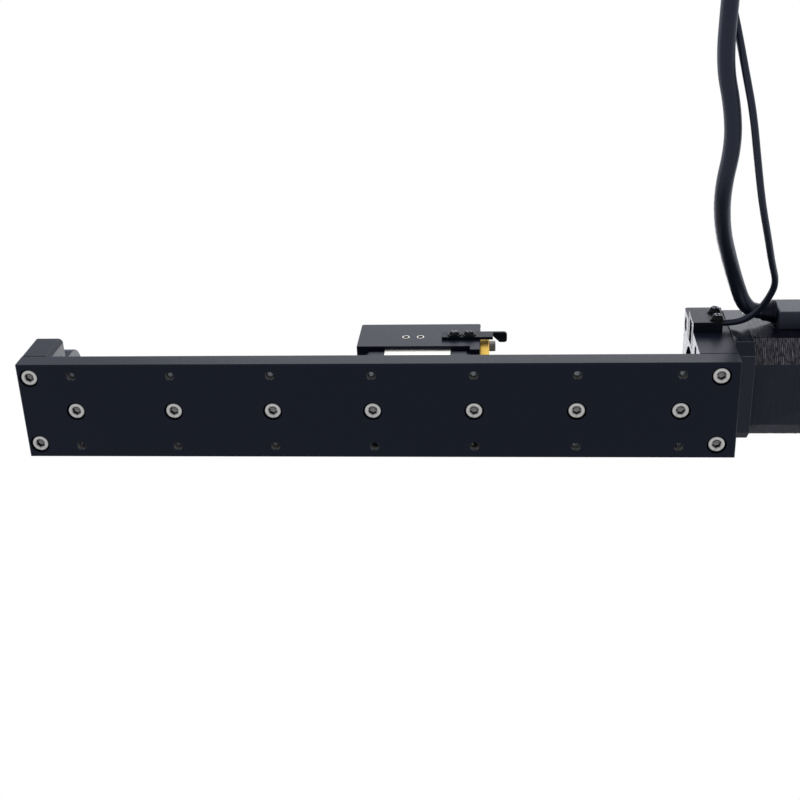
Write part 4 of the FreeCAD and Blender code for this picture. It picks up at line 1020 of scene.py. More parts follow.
@dataclass
class LaminationStack:
    """The motor's stack of punched sheets.

    Attributes:
        start: where the stack begins along the rail.
        length: its length.
        width: width over the flats.
        cut: leg of its cut corners.
        bore: hole for the rotor and windings.
        count: number of sheets drawn.
    """

    start: float = 149.6
    length: float = 22.4
    width: float = 42.3
    cut: float = 8.0
    bore: float = 34.5
    count: int = 60

    SEED: ClassVar[int] = 11
    CORNER_SHARE: ClassVar[float] = 0.41
    EDGE_ROLL: ClassVar[float] = 0.28
    NARROWEST: ClassVar[float] = 0.994
    TONE_BY_CHANCE: ClassVar[float] = 0.16
    PAINTED_LIGHT_BY_TURNS: ClassVar[float] = 0.26
    FACING: ClassVar[float] = 0.9
    SLANT: ClassVar[float] = 0.1
    SMOOTH: ClassVar[float] = 20.0

    def outline(self, inset: float, x: float) -> list[Vector]:
        """The sheet's eight corners, drawn in by an inset, at a place along the rail.

        Args:
            inset: how far the corners are drawn in.
            x: the place along the rail.

        Returns:
            The corners in metres.
        """
        half = self.width / 2 - inset
        short = self.width / 2 - self.cut - inset * self.CORNER_SHARE
        corners = [(half, short), (short, half), (-short, half), (-half, short), (-half, -short), (-short, -half),
                   (short, -half), (half, -short)]
        return [Vector((x, y, z)) * MM for y, z in corners]

    def hole(self, x: float) -> list[Vector]:
        """The sheet's hole as eight points that face its corners."""
        angles = [math.atan2(point.z, point.y) for point in self.outline(0.0, 0.0)]
        return [Vector((x, self.bore / 2 * math.cos(a), self.bore / 2 * math.sin(a))) * MM for a in angles]

    def sheet(self) -> bpy.types.Object:
        """One sheet with rolled edges, centred on the screw's axis.

        Returns:
            The sheet, with its bare corners marked.
        """
        pitch = self.length / self.count
        soft = pitch * self.EDGE_ROLL
        rings = [self.hole(0.0), self.outline(soft, 0.0), self.outline(0.0, soft), self.outline(0.0, pitch - soft),
                 self.outline(soft, pitch), self.hole(pitch)]
        shape = bmesh.new()
        loft(shape, rings, closed=True)
        sheet = mesh_object("lamination_template", shape, self.SMOOTH)
        mark_faces(sheet.data, self.bareness)
        return sheet

    def bareness(self, face: bpy.types.MeshPolygon) -> float:
        """How bare a face is: the front cut corners are, and the rest is black. Bare metal only on the front corners
        paints light there and shade on the back ones.

        Args:
            face: a face of the sheet.

        Returns:
            1 for bare metal, 0 for black.
        """
        # Only the front corners are bare, so the back corners get painted shade.
        if abs(face.normal.x) > self.FACING or abs(abs(face.normal.y) - abs(face.normal.z)) > self.SLANT:
            return 0.0
        return 1.0 if face.normal.y < 0 else 0.0

    def recipe(self) -> NodeRecipe:
        """The tree that stacks the sheets, each a touch wider or narrower than the next.

        Returns:
            The tree, ready to bake.
        """
        recipe = NodeRecipe("lamination_tree")
        sheet = recipe.node("GeometryNodeObjectInfo", {"Object": recipe.socket("Sheet", "Object")})
        line = recipe.node("GeometryNodeMeshLine", {
            "Count": recipe.socket("Count", "Int"), "Start Location": recipe.socket("First", "Vector"),
            "Offset": recipe.socket("Pitch", "Vector")})
        width = recipe.node("FunctionNodeRandomValue", {
            2: recipe.socket("Narrowest", "Float"), 3: 1.0, "Seed": recipe.socket("Seed", "Int")}, data_type="FLOAT")
        scale = recipe.node("ShaderNodeCombineXYZ", {0: 1.0, 1: width.outputs[1], 2: width.outputs[1]})
        placed = recipe.node("GeometryNodeInstanceOnPoints", {
            "Points": line.outputs[0], "Instance": sheet.outputs["Geometry"], "Scale": scale.outputs[0]})
        chance = recipe.node("FunctionNodeRandomValue", {
            3: recipe.socket("Tone by chance", "Float"), "Seed": recipe.socket("Tone seed", "Int")}, data_type="FLOAT")
        # Every other sheet gets a lighter mark, a painted highlight along alternate sheets; the chance share is random
        # tone.
        odd = recipe.maths("MODULO", recipe.node("GeometryNodeInputIndex").outputs[0], 2.0)
        tone_and_light = recipe.maths("MULTIPLY_ADD", odd, recipe.socket("Tone by turns", "Float"), chance.outputs[1])
        toned = recipe.node("GeometryNodeStoreNamedAttribute", {
            "Geometry": placed.outputs[0], "Name": SHEET_TONE_AND_LIGHT, "Value": tone_and_light}, data_type="FLOAT", domain="INSTANCE")
        recipe.close(toned.outputs[0])
        return recipe

    def build(self) -> bpy.types.Object:
        """Makes the stack as one piece.

        Returns:
            The dressed piece.
        """
        sheet = self.sheet()
        piece = mesh_object("motor_lamination_stack", bmesh.new())
        self.recipe().bake(piece, {
            "Sheet": sheet, "Count": self.count, "First": (self.start * MM, 0.0, AXIS_Z * MM),
            "Pitch": (self.length / self.count * MM, 0.0, 0.0), "Narrowest": self.NARROWEST,
            "Seed": self.SEED, "Tone seed": self.SEED + 1, "Tone by chance": self.TONE_BY_CHANCE,
            "Tone by turns": self.PAINTED_LIGHT_BY_TURNS, "Material": FINISHES["motor_laminations"].material()}, self.SMOOTH)
        bpy.data.objects.remove(sheet)
        return dress(piece, "motor_laminations", Body.BASE, "motor_stator")


@dataclass
class Tie:
    """A strap round a coil, with its lock.

    Attributes:
        name: the piece's name.
        node: the CAD node that it stands for.
        middle: where the strap crosses the turns, across the middle of the bundle.
        bundle: width and height of the bundle inside the strap.
    """

    name: str
    node: str
    middle: tuple[float, float]
    bundle: tuple[float, float]

    WIDTH: ClassVar[float] = 4.0
    THICK: ClassVar[float] = 0.6
    EDGE: ClassVar[float] = 0.15
    CORNER: ClassVar[float] = 0.42
    STEPS: ClassVar[int] = 4
    LOCK_MARGIN: ClassVar[float] = 0.5
    LOCK_HALF: ClassVar[float] = 2.4
    LOCK_RISE: ClassVar[tuple[float, float]] = (-0.3, 3.0)
    TAIL_INSET: ClassVar[float] = 0.6
    TAIL_REACH: ClassVar[tuple[float, float]] = (2.2, 5.4)
    TAIL_RISE: ClassVar[tuple[float, float]] = (0.9, 1.7)
    LOCK_EDGE: ClassVar[float] = 0.4
    TAIL_EDGE: ClassVar[float] = 0.2

    def loop(self, grow: float, corner: float, x: float) -> list[Vector]:
        """A rounded loop round the bundle at a place along the coil.

        Args:
            grow: how far the loop stands off the bundle.
            corner: radius of its corners.
            x: the place along the coil.

        Returns:
            The loop's points in metres.
        """
        wide, high = (0.5 * side + grow for side in self.bundle)
        found = []
        for quarter, (side_y, side_z) in enumerate(((1, 1), (-1, 1), (-1, -1), (1, -1))):
            for step in range(self.STEPS + 1):
                angle = math.pi / 2 * (quarter + step / self.STEPS)
                y = side_y * (wide - corner) + corner * math.cos(angle)
                z = side_z * (high - corner) + corner * math.sin(angle)
                found.append(Vector((x, self.middle[1] + y, self.THICK + 0.5 * self.bundle[1] + z)) * MM)
        return found

    def build(self) -> bpy.types.Object:
        """Makes the strap and its lock.

        Returns:
            The dressed piece.
        """
        corner = self.CORNER * min(self.bundle) / 2
        outer = corner + self.THICK
        x, y = self.middle
        left, right = x - self.WIDTH / 2, x + self.WIDTH / 2
        shape = bmesh.new()
        loft(shape, [self.loop(0.0, corner, left), self.loop(self.THICK, outer, left + self.EDGE),
                     self.loop(self.THICK, outer, right - self.EDGE), self.loop(0.0, corner, right)], closed=True)
        top = self.bundle[1] + 2 * self.THICK
        low, high = self.LOCK_RISE
        box_shape(shape, (left - self.LOCK_MARGIN, y - self.LOCK_HALF, top + low),
                  (right + self.LOCK_MARGIN, y + self.LOCK_HALF, top + high), self.LOCK_EDGE)
        low, high = self.TAIL_RISE
        box_shape(shape, (left + self.TAIL_INSET, y + self.TAIL_REACH[0], top + low),
                  (right - self.TAIL_INSET, y + self.TAIL_REACH[1], top + high), self.TAIL_EDGE)
        return dress(mesh_object(self.name, shape), "tie_plastic", Body.BASE, self.node)


@dataclass
class Plug:
    """The connector on a lead's end.

    Attributes:
        name: the piece's name.
        node: the CAD node that it stands for.
        low: the lowest corner of its shell.
        high: the highest corner.
        towards: 1 where its mouth faces +X, -1 where it faces -X.
        ways: number of contact openings in a row.
        rows: number of rows.
    """

    name: str
    node: str
    low: Point
    high: Point
    towards: int
    ways: int
    rows: int

    SHELL: ClassVar[tuple[float, float]] = (0.2, 0.86)
    COLLAR: ClassVar[tuple[float, float]] = (0.0, 0.22)
    COLLAR_SIDE: ClassVar[float] = 0.18
    COLLAR_ENDS: ClassVar[tuple[float, float]] = (0.14, 0.2)
    RIBS: ClassVar[list[tuple[float, float]]] = [(0.28 + 0.08 * i, 0.32 + 0.08 * i) for i in range(4)]
    RIB_ENDS: ClassVar[tuple[float, float]] = (0.2, 0.3)
    RIB_RISE: ClassVar[float] = 0.2
    RIB_ROOT: ClassVar[float] = 0.4
    LATCH: ClassVar[tuple[float, float]] = (0.5, 0.98)
    LATCH_SIDE: ClassVar[float] = 0.36
    LATCH_HEIGHT: ClassVar[float] = 0.12
    MOUTH: ClassVar[tuple[float, float]] = (0.84, 1.0)
    WALL: ClassVar[float] = 0.14
    SHELL_EDGE: ClassVar[float] = 0.4
    LATCH_EDGE: ClassVar[float] = 0.25
    FINE_EDGE: ClassVar[float] = 0.12

    def along(self, near: float, far: float) -> tuple[float, float]:
        """Two places along the plug, as shares of its length from the lead's side, in order of X.

        Args:
            near: the share nearer to the lead.
            far: the share further from it.

        Returns:
            The two places in millimetres.
        """
        length = self.high[0] - self.low[0]
        if self.towards > 0:
            return self.low[0] + near * length, self.low[0] + far * length
        return self.high[0] - far * length, self.high[0] - near * length

    def build(self) -> bpy.types.Object:
        """Makes the shell with its collar, grip ribs, latch and open mouth.

        Returns:
            The dressed piece.
        """
        shape = bmesh.new()
        _, y0, z0 = self.low
        _, y1, z1 = self.high
        height = z1 - z0
        width = y1 - y0
        top = z1 - self.LATCH_HEIGHT * height
        start, end = self.along(*self.SHELL)
        box_shape(shape, (start, y0, z0), (end, y1, top), self.SHELL_EDGE)
        start, end = self.along(*self.COLLAR)
        side = self.COLLAR_SIDE * width
        below, above = (share * height for share in self.COLLAR_ENDS)
        box_shape(shape, (start, y0 + side, z0 + below), (end, y1 - side, z1 - above), self.SHELL_EDGE)
        below, above = (share * height for share in self.RIB_ENDS)
        for rib in self.RIBS:
            start, end = self.along(*rib)
            for inner, outer in ((y0 - self.RIB_RISE, y0 + self.RIB_ROOT), (y1 - self.RIB_ROOT, y1 + self.RIB_RISE)):
                box_shape(shape, (start, inner, z0 + below), (end, outer, z1 - above), self.FINE_EDGE)
        start, end = self.along(*self.LATCH)
        side = self.LATCH_SIDE * width
        box_shape(shape, (start, y0 + side, top), (end, y1 - side, z1), self.LATCH_EDGE)
        start, end = self.along(*self.MOUTH)
        wall = self.WALL * height
        for way in range(self.ways + 1):
            middle = y0 + wall / 2 + (width - wall) * way / self.ways
            box_shape(shape, (start, middle - wall / 2, z0), (end, middle + wall / 2, top), self.FINE_EDGE)
        for row in range(self.rows + 1):
            middle = z0 + wall / 2 + ((1.0 - self.LATCH_HEIGHT) * height - wall) * row / self.rows
            box_shape(shape, (start, y0, middle - wall / 2), (end, y1, middle + wall / 2), self.FINE_EDGE)
        return dress(mesh_object(self.name, shape), "plug_plastic", Body.BASE, self.node)


@dataclass
class Lead:
    """A lead that runs from its exit along its route and ends in a tied coil and a plug.

    Attributes:
        name: the piece's name.
        nodes: the CAD nodes that it stands for.
        diameter: outer diameter in millimetres.
        length: full length in metres; not used.
        route: points from the exit to the coil.
        coil: points of the turns and the tail.
        tie: the strap round the coil.
        plug: the connector on the end.
    """

    name: str
    nodes: tuple[str, str]
    diameter: float
    length: float
    route: list[Point]
    coil: list[Point]
    tie: Tie
    plug: Plug

    ROUNDNESS: ClassVar[int] = 5
    STEPS: ClassVar[int] = 8

    def build(self) -> bpy.types.Object:
        """Makes the lead on one smooth spline, with its strap and connector.

        Returns:
            The dressed lead.
        """
        curve = bpy.data.curves.new(self.name, "CURVE")
        curve.dimensions = "3D"
        curve.bevel_depth = self.diameter / 2 * MM
        curve.bevel_resolution = self.ROUNDNESS
        curve.resolution_u = self.STEPS
        curve.use_fill_caps = True
        spline = curve.splines.new("NURBS")
        points = [*self.route, *self.coil]
        spline.points.add(len(points) - 1)
        for point, place in zip(spline.points, points):
            point.co = (*(Vector(place) * MM), 1.0)
        spline.order_u = 3
        spline.use_endpoint_u = True
        spline.use_smooth = True
        piece = add_object(self.name, curve)
        dress(piece, "lead_jacket", Body.BASE, *self.nodes)
        self.tie.build()
        self.plug.build()
        return piece


@dataclass
class Turns:
    """The turns of a coil, as points for its lead's spline.

    Attributes:
        middle: the coil's middle.
        start: angle in degrees where the lead meets the coil.
        hand: 1 for turns that run anticlockwise seen from above, -1 for clockwise.
        first: radius and height at the start.
        stages: for each stage of the winding, its degrees, and the radius and height at its end.
    """

    middle: tuple[float, float]
    start: float
    hand: int
    first: tuple[float, float]
    stages: list[tuple[float, float, float]]

    STEP: ClassVar[float] = 15.0

    def points(self) -> list[Point]:
        """The spline's points, a little outside the turns because the spline runs inside them.

        Returns:
            The points from the lead's side to the tail.
        """
        reach = math.cos(math.radians(self.STEP / 2))
        radius, height = self.first
        angle = 0.0
        found = []
        for degrees, next_radius, next_height in self.stages:
            count = round(degrees / self.STEP)
            for i in range(count):
                share = i / count
                found.append(self._point(angle + i * self.STEP, (radius + (next_radius - radius) * share) / reach,
                                         height + (next_height - height) * share))
            angle += degrees
            radius, height = next_radius, next_height
        return found

    def _point(self, angle: float, radius: float, height: float) -> Point:
        """One point on the coil."""
        turn = math.radians(self.start + self.hand * angle)
        return self.middle[0] + radius * math.cos(turn), self.middle[1] + radius * math.sin(turn), height


@dataclass
class Gland:
    """The flanged rubber boot where the motor lead leaves its box.

    Attributes:
        middle: a point on its axis.
        profile: place along the rail and radius at each corner of its section.
    """

    middle: Point = (0.0, -26.05, 38.05)
    profile: list[tuple[float, float]] = field(default_factory=lambda: [
        (160.5, 3.15), (160.5, 4.6), (160.3, 4.8), (159.2, 4.8), (158.95, 4.62), (158.9, 4.3), (158.3, 4.3),
        (158.15, 4.1), (157.4, 3.95), (156.4, 3.8), (155.4, 3.62), (155.0, 3.45), (154.9, 3.3), (154.9, 3.15)])

    SEGMENTS: ClassVar[int] = 48

    def build(self) -> bpy.types.Object:
        """Makes the boot with its flange, collar and cone.

        Returns:
            The dressed piece.
        """
        shape = bmesh.new()
        loft(shape, turned(self.profile, 0, self.middle, self.SEGMENTS), closed=True)
        return dress(mesh_object("motor_lead_gland", shape), "black_rubber", Body.BASE, "cable_gland")


@dataclass(frozen=True)
class Spot:
    """A hole in an anodised piece whose wall shows bare metal.

    Attributes:
        middle: the hole's middle in millimetres.
        reach: half sizes of the block that holds its wall.
        axis: the hole's axis, 0 to 2.
        strength: how far the bare metal shows.
    """

    middle: Point
    reach: Point
    axis: int
    strength: float

    WALL_SLOPE: ClassVar[float] = 0.9

    def holds(self, face: bpy.types.MeshPolygon) -> bool:
        """Whether a face is part of the hole's wall."""
        away = [abs(face.center[k] / MM - self.middle[k]) for k in range(3)]
        return abs(face.normal[self.axis]) < self.WALL_SLOPE and all(away[k] <= self.reach[k] for k in range(3))


@dataclass
class SoftenedBlock:
    """A machined or moulded piece with its edges broken, from its CAD solid.

    Attributes:
        node: the CAD node.
        slot: the material slot.
        body: the body that carries it.
        width: width of the broken edges in millimetres.
        limit: edges flatter than this many degrees stay as they are.
        segments: steps across an edge.
        spots: the holes whose walls show bare metal.
        shine: how far bare metal shows along the broken edges, which also paints a bright highlight along them.
        finish: a variant of the slot's finish.
    """

    node: str
    slot: str
    body: Body
    width: float = 0.3
    limit: float = 50.0
    segments: int = 2
    spots: list[Spot] = field(default_factory=list)
    shine: float = 0.0
    finish: str = ""

    FLATNESS: ClassVar[float] = 0.5

    def build(self) -> bpy.types.Object:
        """Makes the piece.

        Returns:
            The dressed piece.
        """
        shape = bmesh.new()
        shape.from_mesh(frame["nodes"][self.node].data)
        bmesh.ops.remove_doubles(shape, verts=shape.verts, dist=WELD)
        bmesh.ops.dissolve_limit(shape, angle_limit=math.radians(self.FLATNESS), verts=shape.verts, edges=shape.edges)
        piece = mesh_object(f"{self.node}_softened", shape)
        for _ in range(2):
            piece.data.materials.append(FINISHES[self.slot].material())
        for face in piece.data.polygons:
            face.material_index = 0
        modifier = piece.modifiers.new("broken_edges", "BEVEL")
        modifier.material = 1
        modifier.width = self.width * MM
        modifier.segments = self.segments
        modifier.limit_method = "ANGLE"
        modifier.angle_limit = math.radians(self.limit)
        modifier.use_clamp_overlap = True
        flat = piece.modifiers.new("flat_faces", "WEIGHTED_NORMAL")
        flat.keep_sharp = True
        mesh = settle(piece)
        mark_faces(mesh, self.bareness)
        for face in mesh.polygons:
            face.material_index = 0
        return dress(piece, self.slot, self.body, self.node, finish=self.finish)

    def bareness(self, face: bpy.types.MeshPolygon) -> float:
        """How far bare metal shows on a face: its hole's share, or the broken edges' shine, which also paints a
        highlight.
        """
        edge = self.shine if face.material_index else 0.0
        return max((spot.strength for spot in self.spots if spot.holds(face)), default=edge)


@dataclass
class Studio:
    """The pale floor, the soft lights and the camera under the part.

    Attributes:
        lens: the camera's focal length on a 36 mm sensor.
        place: the camera's place in metres.
        right: the picture's rightward direction.
        down: the picture's downward direction.
        forward: the viewing direction.
        softboxes: name, place, size in metres and brightness of each lamp.
    """

    lens: float = 59.12
    place: Point = (0.05351867, -0.22726999, -0.46354194)
    right: Point = (0.99659884, 0.03687109, 0.07369721)
    down: Point = (-0.00137911, 0.90165531, -0.43245322)
    forward: Point = (-0.0823945, 0.43088075, 0.89863949)
    softboxes: list[tuple[str, Point, tuple[float, float], float]] = field(default_factory=lambda: [
        ("upper_softbox", (0.35, -0.62, 1.15), (1.5, 1.0), 1.08),
        ("front_softbox", (-0.1, -1.25, 0.1), (1.2, 0.9), 1.1),
        ("rear_fill", (0.45, 0.75, 1.35), (1.1, 0.8), 0.7),
        ("rear_key", (-0.03, 0.55, 1.15), (0.5, 0.5), 2.4),
        ("end_fill", (-1.25, 0.1, 0.55), (0.8, 0.8), 1.0),
    ])

    AIM: ClassVar[Vector] = Vector((0.04, -0.02, 0.03))
    AMBIENT: ClassVar[float] = 0.3
    REFLECTED: ClassVar[Colour] = (0.93, 0.955, 1.08)
    ENDS: ClassVar[list[tuple[float, float]]] = [(-0.88, 0.55), (-0.58, 1.0), (0.58, 1.0), (0.88, 0.15)]
    FADE_REACH: ClassVar[tuple[float, float]] = (0.35, 1.6)
    FADE_LEVEL: ClassVar[tuple[float, float]] = (0.5, 1.0)
    FLOOR_SIZE: ClassVar[float] = 20.0
    FLOOR_DROP: ClassVar[float] = 0.0002
    FLOOR_COLOUR: ClassVar[Colour] = (0.86, 0.86, 0.86)
    FLOOR_ROUGHNESS: ClassVar[float] = 0.9
    SENSOR: ClassVar[float] = 36.0
    CLIP: ClassVar[float] = 0.01

    def camera(self) -> None:
        """Sets the camera below the base plate, as in the photograph."""
        data = bpy.data.cameras.new("camera")
        data.sensor_width = self.SENSOR
        data.lens = self.lens
        data.clip_start = self.CLIP
        made = add_object("camera", data)
        axes = (Vector(self.right), -Vector(self.down), -Vector(self.forward))
        turn = Matrix(axes).transposed().to_4x4()
        made.matrix_world = Matrix.Translation(Vector(self.place)) @ turn
        bpy.context.scene.camera = made

    def lights(self) -> None:
        """Hangs the softboxes, all aimed at the part."""
        for name, place, size, brightness in self.softboxes:
            lamp = bpy.data.lights.new(name, "AREA")
            lamp.shape = "RECTANGLE"
            lamp.size, lamp.size_y = size
            lamp.energy = math.pi * size[0] * size[1] * brightness
            made = add_object(name, lamp)
            made.location = place
            made.rotation_euler = (self.AIM - Vector(place)).to_track_quat("-Z", "Y").to_euler()
            made.visible_camera = False

    def world(self) -> None:
        """White to the eye, a cool white in reflections, and dim as fill light."""
        world = bpy.data.worlds.new("studio")
        bpy.context.scene.world = world
        world.use_nodes = True
        world.cycles.sampling_method = "NONE"
        nodes = world.node_tree.nodes
        build = NodeBuilder(world.node_tree)
        build.feed(nodes["Background"], {"Color": (self.AMBIENT, self.AMBIENT, self.AMBIENT, 1.0)})
        path = build.node("ShaderNodeLightPath")
        seen = nodes["Background"].outputs[0]
        for ray, colour, strength in (("Is Glossy Ray", self.REFLECTED, self.ends(build)),
                                      ("Is Transmission Ray", WHITE, 1.0), ("Is Camera Ray", WHITE, 1.0)):
            sky = build.node("ShaderNodeBackground", {"Color": (*colour, 1.0), "Strength": strength})
            seen = build.cover(path.outputs[ray], seen, sky)
        build.feed(nodes["World Output"], {"Surface": seen})

    def ends(self, build: NodeBuilder) -> bpy.types.NodeSocket:
        """Makes the reflected world dimmer towards the studio's front and back ends.

        Args:
            build: the world's node tree.

        Returns:
            The brightness in a direction.
        """
        place = build.node("ShaderNodeTexCoord").outputs["Generated"]
        across = build.node("ShaderNodeSeparateXYZ", {0: place}).outputs["Y"]
        ramp = build.node("ShaderNodeValToRGB", {"Fac": build.spread(across, (-1.0, 1.0))})
        steps = ramp.color_ramp.elements
        while len(steps) < len(self.ENDS):
            steps.new(0.5)
        for step, (y, level) in zip(steps, self.ENDS):
            step.position = 0.5 + y / 2
            step.color = (level, level, level, 1.0)
        return ramp.outputs["Color"]

    def floor(self) -> None:
        """A pale floor under the part, fading to white, that shows only from above: the camera looks up through it."""
        shape = bmesh.new()
        bmesh.ops.create_grid(shape, x_segments=1, y_segments=1, size=self.FLOOR_SIZE)
        bmesh.ops.translate(shape, verts=shape.verts, vec=(0.0, 0.0, -self.FLOOR_DROP))
        mesh = bpy.data.meshes.new("floor")
        shape.to_mesh(mesh)
        shape.free()
        made = add_object("floor", mesh)
        mesh.materials.append(self.floor_finish())
        made.visible_diffuse = False
        made.visible_glossy = False
        made.visible_shadow = False

    def floor_finish(self) -> bpy.types.Material:
        """Makes the floor's material: pale, whiter further out to the camera, and clear from below.

        Returns:
            The material.
        """
        material = bpy.data.materials.new("pale_floor")
        material.use_nodes = True
        nodes = material.node_tree.nodes
        build = NodeBuilder(material.node_tree)
        surface = nodes["Principled BSDF"]
        build.feed(surface, {"Base Color": (*self.FLOOR_COLOUR, 1.0), "Roughness": self.FLOOR_ROUGHNESS,
                             "Specular IOR Level": 0.0})
        pale = build.node("ShaderNodeEmission", {"Color": (*WHITE, 1.0)})
        clear = build.node("ShaderNodeBsdfTransparent")
        place = build.node("ShaderNodeTexCoord").outputs["Object"]
        away = build.node("ShaderNodeVectorMath", {0: place}, operation="LENGTH").outputs["Value"]
        fade = build.spread(away, self.FADE_REACH, self.FADE_LEVEL)
        path = build.node("ShaderNodeLightPath").outputs["Is Camera Ray"]
        below = build.node("ShaderNodeNewGeometry").outputs["Backfacing"]
        seen = build.cover(build.maths("MULTIPLY", path, fade), surface.outputs[0], pale)
        build.feed(nodes["Material Output"], {"Surface": build.cover(below, seen, clear)})
        return material

    def build(self) -> None:
        """Sets up the whole studio."""
        bpy.context.scene.view_settings.view_transform = "Standard"
        self.camera()
        self.lights()
        self.world()
        self.floor()


MOTOR_ROUTE: list[Point] = [
    (158.3, -26.05, 38.05), (152.0, -26.05, 38.05), (147.5, -29.8, 37.9), (144.0, -38.5, 36.4), (139.6, -50.5, 30.0),
    (133.6, -68.0, 17.0), (130.9, -86.0, 6.4), (133.2, -103.5, 3.4), (132.0, -117.0, 3.7), (128.2, -132.0, 3.7),
    (128.5, -152.0, 3.7), (129.3, -171.0, 3.7), (128.8, -189.0, 3.7)]
SENSOR_ROUTE: list[Point] = [
    (138.8, -23.2, 33.475), (145.8, -23.2, 33.475), (152.2, -28.8, 31.0), (155.2, -36.0, 27.2), (156.4, -44.5, 21.6),
    (152.6, -55.0, 14.6), (148.8, -68.0, 7.4), (144.8, -82.0, 2.6), (142.0, -97.0, 1.75), (139.0, -115.0, 1.75),
    (135.6, -129.0, 3.4), (133.0, -142.0, 9.0), (129.6, -155.0, 11.6), (123.6, -168.0, 11.2), (117.8, -180.0, 6.4),
    (115.0, -192.0, 3.0), (114.3, -204.0, 1.95)]
MOTOR_TURNS = Turns((165.9, -204.0), 180.0, 1, (37.15, 3.7), [
    (300.0, 37.15, 3.7), (60.0, 30.85, 3.7), (240.0, 30.85, 3.7), (60.0, 30.85, 10.1), (60.0, 30.85, 10.1),
    (180.0, 30.85, 10.1), (60.0, 37.15, 10.1), (210.0, 37.15, 10.1)])
MOTOR_TAIL: list[Point] = [
    (165.9, -241.2, 10.1), (176.0, -241.15, 10.0), (186.0, -241.1, 8.2), (196.0, -241.1, 5.0), (206.1, -241.1, 4.5)]
SENSOR_TURNS = Turns((97.0, -210.0), 0.0, -1, (17.3, 1.95), [
    (300.0, 17.3, 1.95), (60.0, 14.6, 1.95), (300.0, 14.6, 1.95), (60.0, 11.9, 1.95), (300.0, 11.9, 1.95),
    (60.0, 11.9, 4.65), (300.0, 11.9, 4.65), (60.0, 14.6, 4.65), (300.0, 14.6, 4.65), (60.0, 17.3, 4.65),
    (450.0, 17.3, 4.65)])
SENSOR_TAIL: list[Point] = [
    (97.0, -227.35, 4.65), (90.0, -227.32, 4.5), (84.0, -227.3, 3.5), (76.9, -227.3, 2.75)]


def leads() -> list[Lead]:
    """The motor lead and the sensor lead.

    Returns:
        Both leads, ready to build.
    """
    return [
        Lead("motor_lead_cable", ("motor_lead", "motor_lead_coil"), 6.2, 0.93, MOTOR_ROUTE,
             [*MOTOR_TURNS.points(), *MOTOR_TAIL],
             Tie("motor_lead_strap", "motor_lead_tie", (165.9, -170.0), (12.4, 12.4)),
             Plug("motor_lead_connector", "motor_lead_plug", (205.9, -249.1, 0.0), (229.9, -233.1, 9.0), 1, 4, 1)),
        Lead("sensor_lead_cable", ("sensor_lead", "sensor_lead_coil"), 2.7, 0.81, SENSOR_ROUTE,
             [*SENSOR_TURNS.points(), *SENSOR_TAIL],
             Tie("sensor_lead_strap", "sensor_lead_tie", (97.0, -195.4), (8.1, 5.4)),
             Plug("sensor_lead_connector", "sensor_lead_plug", (63.0, -231.8, 0.0), (77.0, -222.8, 5.5), -1, 3, 1)),
    ]


PLATE_SCREW = ScrewKind(6.7, 4.0, 4.0, 3.0)
SMALL_SCREW = ScrewKind(5.5, 3.0, 3.0, 2.5)
NUT_SCREW = ScrewKind(4.5, 2.6, 2.5, 2.0)
SENSOR_SCREW = ScrewKind(4.8, 1.9, 2.5, 2.6, Drive.CROSS)
FLAG_SCREW = ScrewKind(4.4, 1.0, 2.5, 2.3, Drive.CROSS)
PLATE_RISE, SENSOR_RISE, FLAG_SINK = 0.6, 0.5, 0.4
MOTOR_SPACING = 31.0
NUT_CIRCLE = 12.5
CARRIAGE_X = 16.9


def corner_seats(x: float) -> list[Point]:
    """The motor's four screws about the lead screw's axis, at a place along the rail."""
    half = MOTOR_SPACING / 2
    return [(x, y * half, AXIS_Z + z * half) for y in (-1, 1) for z in (-1, 1)]


